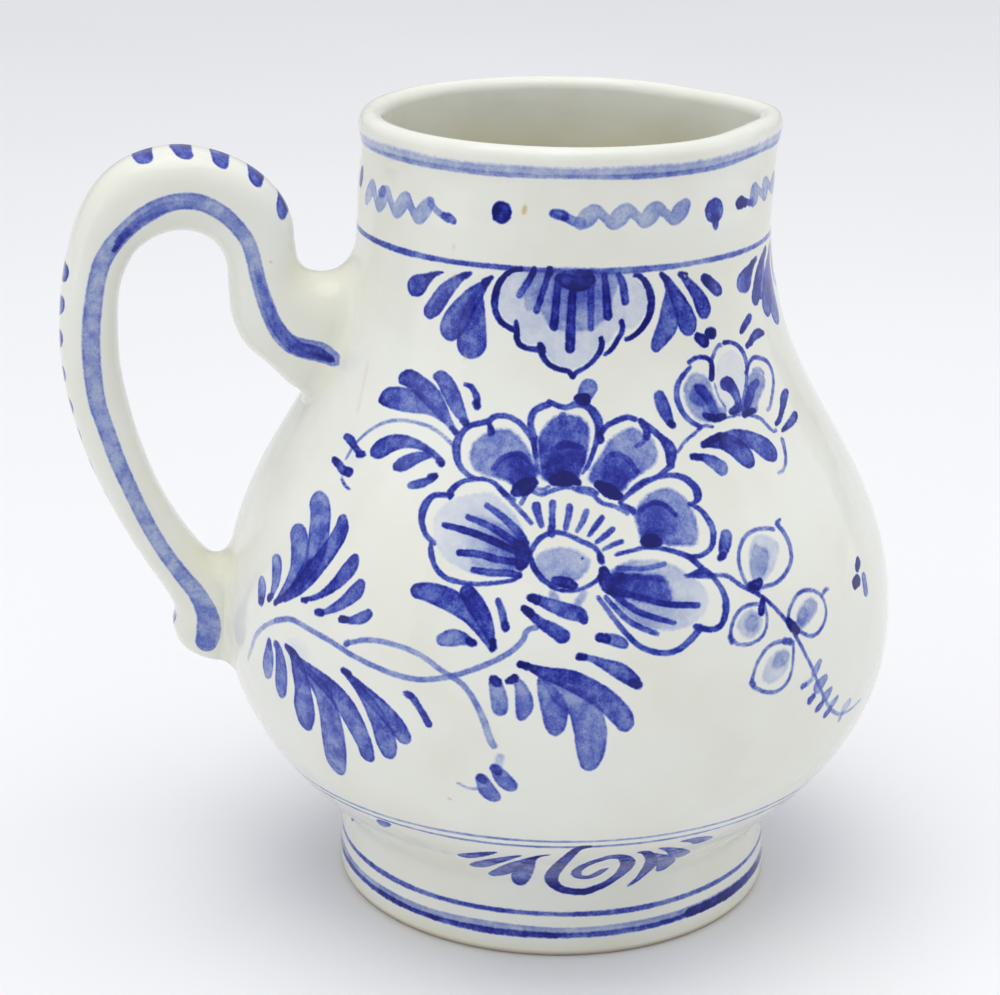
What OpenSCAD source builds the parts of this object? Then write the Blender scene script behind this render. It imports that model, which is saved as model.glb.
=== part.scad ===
// Cream jug: a slip-cast pear-shaped body with a pinched spout, a looped handle
// made on its own, and the two beds of slip that lute the handle to the body.
// The table is the plane Z = 0, the body's axis is Z, the spout points along +X
// and the handle along -X.

/* [Body] */
// Height from the table to the top of the rim
jug_height = 110; // [108:0.5:112]
// Largest diameter of the belly
belly_diameter = 93.4; // [92:0.2:94.6]
// Height of the largest diameter above the table
belly_height = 40; // [38:0.5:42]
// Outside diameter of the neck at its straight part
neck_diameter = 55.5; // [54.5:0.1:56.5]
// Thickness of the cast wall
wall = 3.4; // [2.8:0.1:4]

/* [Foot] */
// Largest diameter of the foot
foot_diameter = 61.8; // [60:0.2:64]
// Height of the soft crease between foot and belly
crease_height = 10; // [9:0.2:11]
// Width of the unglazed ring that the jug stands on
ring_width = 4.6; // [3.5:0.1:6]
// Depth of the recess inside the ring
recess_depth = 2.4; // [1.5:0.1:3]

/* [Rim and spout] */
// Outside diameter of the rounded rim
rim_diameter = 55.1; // [54.6:0.1:55.6]
// Thickness of the rounded rim
rim_thickness = 3.3; // [2.8:0.1:3.8]
// Distance from the axis to the tip of the spout
spout_reach = 29.5; // [28.8:0.1:31]
// Half of the angle that the pinched spout takes up on the rim
spout_half_angle = 24; // [18:1:32]

/* [Handle] */
// Distance from the axis to the outermost point of the handle
handle_reach = 67.5; // [66:0.5:70]
// Fullness of the handle's section: 2 is an ellipse, more is squarer
section_fullness = 2.5; // [2:0.1:3.2]
// Thickness of the slip under each end of the handle, and how far it spreads round it
seam = 1; // [0.6:0.1:1.6]

/* [Hidden] */

glaze = [0.93, 0.93, 0.9];
slip = [0.9, 0.89, 0.8];

curve_steps = 14;      // straight pieces in each curve of the outline
ring_sides = 28;       // corners of one section of the handle
steps_per_station = 2; // sections between two stations of the handle
blend_sides = 32;      // facets of the small spheres that shape the spout

belly_r = belly_diameter / 2;
neck_r = neck_diameter / 2;
foot_r = foot_diameter / 2;
rim_r = rim_thickness / 2;
rim_centre = rim_diameter / 2 - rim_r;
rim_z = jug_height - rim_r;
crease_r = foot_r - 0.6;
foot_edge = 0.8;       // rounding of the foot's lower edge
neck_z = jug_height - 11.7;
floor_z = recess_depth + wall;
hollow_r = foot_r - ring_width;

// ---- curves ----

// A point on the cubic curve with the four control points p
function on_curve(p, t) =
    pow(1 - t, 3) * p[0] + 3 * t * pow(1 - t, 2) * p[1]
    + 3 * t * t * (1 - t) * p[2] + pow(t, 3) * p[3];

// The points of that curve, without its last one, so that curves can be chained
function curve(p) = [for (i = [0 : curve_steps - 1]) on_curve(p, i / curve_steps)];

// A point between p[i] and p[i + 1] on the smooth line through all of p
function on_line(p, i, t) =
    let (
        last = len(p) - 1,
        before = p[max(i - 1, 0)],
        from = p[i],
        to = p[min(i + 1, last)],
        after = p[min(i + 2, last)]
    )
    0.5 * (2 * from + t * (to - before) + t * t * (2 * before - 5 * from + 4 * to - after)
    + pow(t, 3) * (3 * from - before - 3 * to + after));

// ---- outline of the body, as [radius, height] from the foot up ----

foot_wall = [
    [foot_r - 0.2, foot_edge],
    [foot_r + 0.2, 3.5],
    [crease_r, 0.75 * crease_height],
    [crease_r, crease_height]
];
lower_belly = [
    [crease_r, crease_height],
    [crease_r + 0.1, 1.4 * crease_height],
    [belly_r, 0.55 * belly_height],
    [belly_r, belly_height]
];
shoulder = [
    [belly_r, belly_height],
    [belly_r, belly_height + 24.5],
    [neck_r, neck_z - 27.8],
    [neck_r, neck_z]
];
under_rim = [
    [neck_r, neck_z],
    [neck_r, neck_z + 2.7],
    [rim_diameter / 2 - 0.4, rim_z - 5.4],
    [rim_diameter / 2 - 0.4, rim_z - 3.2]
];
rim_swell = [
    [rim_diameter / 2 - 0.4, rim_z - 3.2],
    [rim_diameter / 2 - 0.4, rim_z - 2],
    [rim_diameter / 2, rim_z - 1.4],
    [rim_diameter / 2, rim_z]
];

foot_rounding = [
    for (a = [-90 : 15 : -15])
        [foot_r - 0.2 - foot_edge, foot_edge] + foot_edge * [cos(a), sin(a)]
];
outside = concat(
    foot_rounding, curve(foot_wall), curve(lower_belly),
    curve(shoulder), curve(under_rim), curve(rim_swell)
);
rim_arc = [
    for (a = [0 : 15 : 180]) [rim_centre, rim_z] + rim_r * [cos(a), sin(a)]
];

// Unit vector that points out of the body at point i of a line of points
function outward(p, i) =
    let (along = p[min(i + 1, len(p) - 1)] - p[max(i - 1, 0)])
    [along[1], -along[0]] / norm(along);

// A line of points moved out of the body by a distance, or into it when it is negative
function moved(p, distance) = [for (i = [0 : len(p) - 1]) p[i] + distance * outward(p, i)];

upper_outside = concat(curve(lower_belly), curve(shoulder), [[neck_r, neck_z]]);
upper_inside = moved(upper_outside, -wall);
inner_corner = [
    [hollow_r - 6, floor_z],
    [hollow_r - 2.5, floor_z],
    [crease_r - wall, floor_z + 0.6],
    [crease_r - wall, crease_height]
];
underside = [
    [0, recess_depth + 0.4],
    [hollow_r - 3, recess_depth],
    [hollow_r - 0.8, recess_depth - 0.5],
    [hollow_r, 0]
];

inside = concat([[0, floor_z]], curve(inner_corner), upper_inside);

function reversed(p) = [for (i = [len(p) - 1 : -1 : 0]) p[i]];

// ---- handle ----

// Stations along the handle, from the shoulder over the arch to the belly. Each
// gives the point on its outer edge, the point on its inner edge, both as
// [distance from the axis, height], and half of the handle's width there. The
// two stations at each end lie inside the body, which is cut away from the handle.
stations = [
    [[24.0, 91.0], [25.0, 69.0], 6.6],
    [[27.0, 90.3], [30.0, 70.5], 6.4],
    [[31.3, 88.6], [36.2, 72.8], 6.2],
    [[34.2, 88.8], [40.0, 76.3], 5.9],
    [[35.7, 90.4], [43.2, 79.4], 5.6],
    [[36.2, 93.0], [44.7, 82.8], 5.4],
    [[36.5, 96.0], [45.1, 86.6], 5.3],
    [[38.0, 99.4], [45.3, 90.2], 5.3],
    [[41.3, 102.7], [46.5, 92.9], 5.4],
    [[45.9, 105.0], [48.6, 94.5], 5.6],
    [[51.5, 106.0], [51.4, 95.0], 5.7],
    [[57.0, 104.9], [54.3, 94.3], 5.7],
    [[61.2, 102.2], [56.9, 92.5], 5.6],
    [[64.3, 97.7], [58.6, 89.7], 5.5],
    [[66.3, 91.7], [59.5, 86.5], 5.4],
    [[67.4, 84.7], [59.8, 82.0], 5.4],
    [[67.5, 77.6], [59.7, 76.8], 5.4],
    [[66.5, 71.0], [58.8, 71.2], 5.3],
    [[64.4, 63.5], [57.2, 65.0], 5.3],
    [[61.3, 56.3], [54.8, 58.6], 5.2],
    [[57.6, 49.3], [51.8, 53.2], 5.2],
    [[54.4, 44.0], [48.9, 49.4], 5.3],
    [[53.6, 41.4], [45.6, 46.6], 5.5],
    [[53.9, 39.3], [44.2, 42.9], 5.7],
    [[52.9, 36.6], [43.2, 39.4], 5.6],
    [[50.3, 34.9], [42.2, 36.9], 5.2],
    [[46.2, 34.4], [40.8, 36.0], 4.8],
    [[42.2, 34.5], [39.2, 35.5], 4.3],
    [[39.2, 34.7], [37.2, 35.3], 4.0]
];
outer_edge = [for (s = stations) s[0]];
inner_edge = [for (s = stations) s[1]];
half_width = [for (s = stations) s[2]];
upper_end = [1, 6];                     // stations that the upper slip lies under
lower_end = [19, len(stations) - 2];    // stations that the lower slip lies under
reach_scale = handle_reach / 67.5;

function rounded(x) = sign(x) * pow(abs(x), 2 / section_fullness);

// One section of the handle, enlarged all round by grow
function section(i, t, grow) =
    let (
        outer = on_line(outer_edge, i, t),
        inner = on_line(inner_edge, i, t),
        middle = (outer + inner) / 2,
        half = (outer - inner) / 2,
        reach = half * (1 + grow / norm(half)),
        wide = on_line(half_width, i, t) + grow
    )
    [
        for (k = [0 : ring_sides - 1])
            let (
                angle = 360 * k / ring_sides,
                flat = middle + reach * rounded(cos(angle))
            )
            [-flat[0] * reach_scale, -wide * rounded(sin(angle)), flat[1]]
    ];

// The handle between two stations, closed at both ends
module handle_bar(first, last, grow) {
    sections = concat(
        [
            for (i = [first : last - 1], j = [0 : steps_per_station - 1])
                section(i, j / steps_per_station, grow)
        ],
        [section(last - 1, 1, grow)]
    );
    count = len(sections);
    polyhedron(
        points = [for (s = sections, p = s) p],
        faces = concat(
            [[for (k = [0 : ring_sides - 1]) k]],
            [
                for (i = [0 : count - 2], k = [0 : ring_sides - 1])
                    let (a = i * ring_sides, b = a + ring_sides, n = (k + 1) % ring_sides)
                    each [[a + n, a + k, b + k], [a + n, b + k, b + n]]
            ],
            [[for (k = [ring_sides - 1 : -1 : 0]) (count - 1) * ring_sides + k]]
        )
    );
}

// ---- body ----

// The body as if it were solid, enlarged all round by grow
module body_envelope(grow) {
    rotate_extrude($fn = 180)
        polygon(concat([[0, 0]], moved(outside, grow), [[0, rim_z]]));
}

// A small sphere on the rim's level or below it, at an angle from the spout
module spot(radius, angle, distance, height) {
    rotate(angle)
        translate([distance, 0, height])
            sphere(radius, $fn = blend_sides);
}

module spout_outside() {
    hull() {
        spot(rim_r, 0, spout_reach - rim_r, rim_z);
        for (side = [-1, 1]) spot(rim_r, side * spout_half_angle, rim_centre, rim_z);
        spot(rim_r, 0, neck_r - wall / 2 - 0.4, rim_z - 11);
    }
}

// The V-shaped channel that the pinch leaves inside the rim
module spout_channel() {
    groove = 1.4;
    hull() {
        for (height = [rim_z - 1, rim_z + 4])
            spot(groove, 0, spout_reach - rim_thickness - groove, height);
        for (side = [-1, 1], height = [rim_z - 4, rim_z + 4])
            spot(groove, side * spout_half_angle, rim_centre - rim_r - groove, height);
        spot(groove, 0, neck_r - wall - groove, rim_z - 10);
    }
}

module jug_body() {
    color(glaze)
        difference() {
            union() {
                rotate_extrude($fn = 180)
                    polygon(concat(underside, outside, rim_arc, reversed(inside)));
                spout_outside();
            }
            spout_channel();
        }
}

// The handle, which stands on the slip
module handle() {
    color(glaze)
        difference() {
            handle_bar(0, len(stations) - 1, 0);
            body_envelope(seam);
        }
}

// The bed of slip between one end of the handle and the body
module luting_seam(end) {
    color(slip)
        difference() {
            intersection() {
                handle_bar(end[0], end[1], seam);
                body_envelope(seam);
            }
            body_envelope(0);
        }
}

module upper_luting_seam() { luting_seam(upper_end); }

module lower_luting_seam() { luting_seam(lower_end); }

jug_body();
handle();
upper_luting_seam();
lower_luting_seam();
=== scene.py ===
"""Looks of the porcelain cream jug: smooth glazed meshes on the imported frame, with the cobalt
brushwork painted stroke by stroke. Lengths are in units of 1/110 of the jug's height, which are
millimetres at full size. Azimuth is in degrees, 0 facing -Y and 90 at the spout, which faces +X."""

import math

import bpy
import numpy as np
from mathutils import Matrix, Vector


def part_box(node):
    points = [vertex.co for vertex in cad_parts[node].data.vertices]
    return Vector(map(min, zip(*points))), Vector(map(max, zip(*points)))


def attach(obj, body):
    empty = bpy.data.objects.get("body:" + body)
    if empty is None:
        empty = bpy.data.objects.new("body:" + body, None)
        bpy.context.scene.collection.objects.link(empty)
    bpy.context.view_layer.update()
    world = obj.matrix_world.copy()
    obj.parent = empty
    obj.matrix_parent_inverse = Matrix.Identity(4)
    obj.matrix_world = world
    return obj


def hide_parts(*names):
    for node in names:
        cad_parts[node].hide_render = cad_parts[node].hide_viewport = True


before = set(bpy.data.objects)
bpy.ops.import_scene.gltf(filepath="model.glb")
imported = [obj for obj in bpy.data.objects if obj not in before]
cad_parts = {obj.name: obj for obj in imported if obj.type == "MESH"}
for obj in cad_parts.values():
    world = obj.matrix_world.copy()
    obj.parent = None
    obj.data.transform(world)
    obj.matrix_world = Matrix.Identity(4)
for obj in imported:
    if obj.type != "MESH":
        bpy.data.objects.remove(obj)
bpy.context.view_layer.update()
body_low, body_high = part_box("jug_body")
handle_low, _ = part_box("handle")

HEIGHT = 110
UNIT = (body_high.z - body_low.z) / HEIGHT
BELLY_R = body_high.y / UNIT
HANDLE_REACH = -handle_low.x / UNIT
SPOUT_AZIMUTH = 90

# ---- outline of the body ----

WALL = 3.4
FOOT_R = 30.9
NECK_R = 27.75
RIM_R = 1.65
RIM_CENTRE = 27.55 - RIM_R
RIM_Z = HEIGHT - RIM_R
HOLLOW_R = FOOT_R - 4.6
FLOOR_Z = 5.8
SPOUT_PUSH = 1.95         # how far the pinch moves the tip of the rim outwards
SPOUT_HALF = 23           # degrees from the tip to where that ends
FLANK_PULL = 0.8          # how far it pulls the rim in on each side of the tip
FLANK_AT = 38             # degrees from the tip to the middle of that pull
FLANK_SPREAD = 15
PINCH_Z = 95              # height at which the pinch begins
PINCH_RISE = 12.5         # and over which it grows to its full depth

PAINT_STEP = 0.36         # distance between rows of points on the painted outside
RIM_STEP = 0.45
UNDER_STEP = 0.7
PLAIN_STEP = 2.2          # and inside the jug


def bezier(points, count=60):
    """Points along a cubic curve with four control points."""
    p = np.array(points, float)
    t = np.linspace(0, 1, count)[:, None]
    return (1 - t) ** 3 * p[0] + 3 * t * (1 - t) ** 2 * p[1] + 3 * t * t * (1 - t) * p[2] + t**3 * p[3]


def arc(centre, radius, start, end, count):
    """Points along part of a circle, between two angles in degrees."""
    a = np.radians(np.linspace(start, end, count))
    return np.stack([centre[0] + radius * np.cos(a), centre[1] + radius * np.sin(a)], 1)


def joined(*runs):
    """Runs of points put end to end, without the repeats where they meet."""
    p = np.vstack([np.array(r, float) for r in runs])
    keep = np.r_[True, np.linalg.norm(np.diff(p, axis=0), axis=1) > 1e-6]
    return p[keep]


def lengths_along(path):
    """Distance along a line of points to each of them."""
    return np.r_[0, np.cumsum(np.linalg.norm(np.diff(path, axis=0), axis=1))]


def spaced(path, step):
    """The same line of points with an even distance between them."""
    along = lengths_along(path)
    at = np.linspace(0, along[-1], max(2, int(round(along[-1] / step)) + 1))
    return np.stack([np.interp(at, along, path[:, i]) for i in range(path.shape[1])], 1)


foot_wall = bezier([(30.7, 0.8), (31.1, 3.5), (30.3, 7.5), (30.3, 10)])
lower_belly = bezier([(30.3, 10), (30.4, 14), (BELLY_R, 22), (BELLY_R, 40)])
shoulder = bezier([(BELLY_R, 40), (BELLY_R, 64.5), (NECK_R, 70.5), (NECK_R, 98.3)])
under_rim = bezier([(NECK_R, 98.3), (NECK_R, 101), (27.15, 103), (27.15, 105.2)])
rim_swell = bezier([(27.15, 105.2), (27.15, 106.4), (27.55, 107), (27.55, RIM_Z)])
outside = joined(foot_wall, lower_belly, shoulder, under_rim, rim_swell)

belly_and_neck = joined(lower_belly, shoulder)
slope = np.gradient(belly_and_neck, axis=0)
normal = np.stack([slope[:, 1], -slope[:, 0]], 1) / np.linalg.norm(slope, axis=1)[:, None]
inner_wall = belly_and_neck - WALL * normal
inner_corner = bezier([(0, FLOOR_Z), (HOLLOW_R - 2.5, FLOOR_Z), (26.9, FLOOR_Z + 0.6), (26.9, 10)])
underside = joined(
    bezier([(0, 2.8), (HOLLOW_R - 3, 2.4), (HOLLOW_R - 0.8, 1.9), (HOLLOW_R, 0.5)]),
    arc((HOLLOW_R + 0.5, 0.5), 0.5, 180, 270, 6),
    arc((29.9, 0.8), 0.8, -90, 0, 8),
)

along_outside = lengths_along(outside)


def radius_at(z):
    """Outside radius of the body at a height."""
    return np.interp(z, outside[:, 1], outside[:, 0])


def climb_at(z):
    """Distance along the outside surface from the foot to a height."""
    return np.interp(z, outside[:, 1], along_outside)


def smooth(x):
    """0 up to 0, 1 from 1 on, and a smooth step between them."""
    x = np.clip(x, 0, 1)
    return x * x * (3 - 2 * x)


def turned_from(azimuth, middle):
    """Azimuths counted from another one, from -180 to 180."""
    return (azimuth - middle + 180) % 360 - 180


def spout_shift(azimuth, z):
    """How far the pinched spout moves the wall outwards."""
    turn = np.abs(turned_from(azimuth, SPOUT_AZIMUTH))
    tip = np.clip(1 - (np.sqrt(turn**2 + 4) - 2) / SPOUT_HALF, 0, 1)
    flank = np.exp(-(((turn - FLANK_AT) / FLANK_SPREAD) ** 2))
    return (SPOUT_PUSH * tip - FLANK_PULL * flank) * smooth((z - PINCH_Z) / PINCH_RISE)


def on_body(azimuth, z, lift=0.0):
    """Point on the outside of the body, lifted off it by a distance."""
    r = radius_at(z) + spout_shift(azimuth, z) + lift
    a = np.radians(azimuth)
    return np.stack([r * np.sin(a), -r * np.cos(a), z + 0 * a], -1)


# ---- meshes ----


def mesh_object(name, points, faces, attributes, uv):
    """A smooth closed mesh with its faces outwards. uv has a place on the map for each corner of each
    face."""
    p = np.asarray(points)
    corners = [p[[f[i] for f in faces]] for i in range(3)]
    fourth = p[[f[-1] for f in faces]]
    area = np.cross(corners[1], corners[2]) + np.cross(corners[2], fourth)
    if (corners[0] * area).sum() < 0:
        faces = [f[::-1] for f in faces]
        uv = [c[::-1] for c in uv]
    mesh = bpy.data.meshes.new(name)
    mesh.from_pydata((p * UNIT).tolist(), [], faces)
    mesh.polygons.foreach_set("use_smooth", [True] * len(mesh.polygons))
    for key, values in attributes.items():
        mesh.attributes.new(key, "FLOAT", "POINT").data.foreach_set("value", np.asarray(values, np.float32))
    layer = mesh.uv_layers.new(name="OFBake")
    layer.data.foreach_set("uv", np.array([c for corner in uv for c in corner], np.float32).ravel())
    obj = bpy.data.objects.new(name, mesh)
    bpy.context.scene.collection.objects.link(obj)
    return obj


def grid_faces(rows, columns, close_rows=False):
    """Faces of a grid of points whose columns wrap round, and whose rows do too if asked."""
    faces = []
    for i in range(rows if close_rows else rows - 1):
        a, b = i * columns, (i + 1) % rows * columns
        faces += [(a + k, a + (k + 1) % columns, b + (k + 1) % columns, b + k) for k in range(columns)]
    return faces


def grid_uv(across, along):
    """Map places for grid_faces: one value more than there are columns, and one for each row."""
    out = []
    for v0, v1 in zip(along, along[1:]):
        out += [((u0, v0), (u1, v0), (u1, v1), (u0, v1)) for u0, u1 in zip(across, across[1:])]
    return out


def fan_faces(ring, centre, columns, outward):
    """Triangles from a ring of points to one point in its middle."""
    order = [(ring + (k + 1) % columns, ring + k, centre) for k in range(columns)]
    return order if outward else [f[::-1] for f in order]


def fan_uv(across, v_ring, v_centre, outward):
    """Map places for fan_faces."""
    out = [((u1, v_ring), (u0, v_ring), ((u0 + u1) / 2, v_centre)) for u0, u1 in zip(across, across[1:])]
    return out if outward else [c[::-1] for c in out]


def fitted(values, low=0.004, high=0.996):
    """Values spread evenly from edge to edge of the map."""
    v = np.asarray(values, float)
    return (low + (high - low) * (v - v.min()) / (v.max() - v.min())).tolist()


# ---- brushwork ----

# Strokes that come close to one another go to different layers, so that each keeps a clean edge.
FAMILIES = {
    "wash": ("wash_a", "wash_b"),
    "line": ("line_a", "line_b", "line_c"),
    "dark": ("dark_a", "dark_b"),
}
LAYERS = [layer for family in FAMILIES.values() for layer in family]
FAR = 3.0                 # distance at which a point counts as having no paint near it
CLEAR = 0.7               # distance within which two strokes would run into each other


def curved(points, closed=False, steps=6):
    """A smooth line through a few points, with any widths carried along."""
    p = np.array(points, float)
    n = len(p)
    if n < 3 and not closed:
        t = np.linspace(0, 1, steps + 1)[:, None]
        return p[0] + (p[-1] - p[0]) * t
    out = []
    for i in range(n if closed else n - 1):
        if closed:
            a, b, c, d = p[i - 1], p[i], p[(i + 1) % n], p[(i + 2) % n]
        else:
            a, b, c, d = p[max(i - 1, 0)], p[i], p[i + 1], p[min(i + 2, n - 1)]
        t = (np.arange(steps) / steps)[:, None]
        bend = 2 * a - 5 * b + 4 * c - d
        twist = 3 * b - a - 3 * c + d
        out.append(0.5 * (2 * b + t * (c - a) + t**2 * bend + t**3 * twist))
    return np.vstack(out + ([] if closed else [p[-1:]]))


def to_segments(x, y, path):
    """Distance of each point to each piece of a line, and how far along the piece it is."""
    a, b = path[:-1], path[1:]
    d = b - a
    length = np.maximum((d**2).sum(1), 1e-12)
    t = np.clip(((x[:, None] - a[:, 0]) * d[:, 0] + (y[:, None] - a[:, 1]) * d[:, 1]) / length, 0, 1)
    gap = np.hypot(x[:, None] - a[:, 0] - t * d[:, 0], y[:, None] - a[:, 1] - t * d[:, 1])
    return gap, t


class Painter:
    """Paint on a surface whose points have flat coordinates u and v: for each layer, the distance to the
    edge of the paint, negative inside it, and the strength of the ink."""

    def __init__(self, count):
        self.edge = {k: np.full(count, FAR) for k in LAYERS}
        self.ink = {k: np.zeros(count) for k in LAYERS}

    def put(self, family, where, distance, ink):
        """Adds paint at the points numbered in where, in the emptiest layer of the family."""
        close = where[distance < CLEAR]
        layer = min(FAMILIES[family], key=lambda k: np.count_nonzero(self.edge[k][close] < CLEAR))
        edge = self.edge[layer][where]
        self.ink[layer][where] = np.where(distance < edge, ink, self.ink[layer][where])
        self.edge[layer][where] = np.minimum(edge, distance)

    def stroke(self, family, where, u, v, path, ink):
        """path holds u, v and half width. ink is one strength, or one at each end."""
        gap, t = to_segments(u, v, path[:, :2])
        half = path[:-1, 2] + t * (path[1:, 2] - path[:-1, 2])
        nearest = (gap - half).argmin(1)
        pick = np.arange(len(u))
        along = (nearest + t[pick, nearest]) / (len(path) - 1)
        start, end = ink if isinstance(ink, tuple) else (ink, ink)
        self.put(family, where, (gap - half)[pick, nearest], start + (end - start) * along)

    def area(self, family, where, u, v, path, ink):
        """path holds the u, v of a closed outline. ink is one strength, or the strengths at a point and at
        the far side of the area, with the u, v of that point."""
        loop = np.vstack([path, path[:1]])
        gap, _ = to_segments(u, v, loop[:, :2])
        a, b = loop[:-1], loop[1:]
        rise = np.where(np.abs(b[:, 1] - a[:, 1]) < 1e-9, 1e-9, b[:, 1] - a[:, 1])
        cross = a[:, 0] + (v[:, None] - a[:, 1]) / rise * (b[:, 0] - a[:, 0])
        hits = ((a[:, 1] > v[:, None]) != (b[:, 1] > v[:, None])) & (u[:, None] < cross)
        inside = hits.sum(1) % 2 == 1
        nearest = gap.min(1)
        if isinstance(ink, tuple):
            near, far, (u0, v0) = ink
            reach = np.hypot(path[:, 0] - u0, path[:, 1] - v0).max()
            ink = near + (far - near) * np.clip(np.hypot(u - u0, v - v0) / reach, 0, 1)
        self.put(family, where, np.where(inside, -nearest, nearest), ink)

    def attributes(self):
        """The paint as named values for every point."""
        out = {f"{k}_edge": self.edge[k] for k in LAYERS}
        out.update({f"{k}_ink": self.ink[k] for k in LAYERS})
        return out


# Every motif is a list of (family, ink, points). A point is azimuth, height and half width; in an area it
# is only azimuth and height. Ink runs from 0 for none to 1 for the darkest cobalt. An area whose ink fades
# has the ink near one place, the ink far from it, and the azimuth and height of that place. Each point was
# picked one by one. Those of the foot motif, the handle's stripe and the drip were picked in the photo,
# turned into azimuth and height or reach and height through the fitted camera, and then adjusted.


def spread(half):
    """Half width that ink takes up: broad strokes spread on the glaze and thin ones draw in."""
    share = min(max((half - 0.52) / 0.35, 0), 1)
    return half * (1 + 0.22 * share) - 0.05 * (1 - share)


def leaf(ink, *points, family="line"):
    """A stroke whose width changes along it."""
    return (family, ink, [(a, z, spread(half)) for a, z, half in points])


def line(ink, half, *points, family="line"):
    """A stroke of one width."""
    return leaf(ink, *[(a, z, half) for a, z in points], family=family)


def wash(ink, *points):
    """A filled area inside an outline."""
    return ("wash", ink, list(points))


def blot(ink, *points):
    """A mark of the loaded brush tip. Small ones spread the most."""
    return ("dark", ink, [(a, z, half + 0.12 * (1 - half)) for a, z, half in points])


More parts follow.
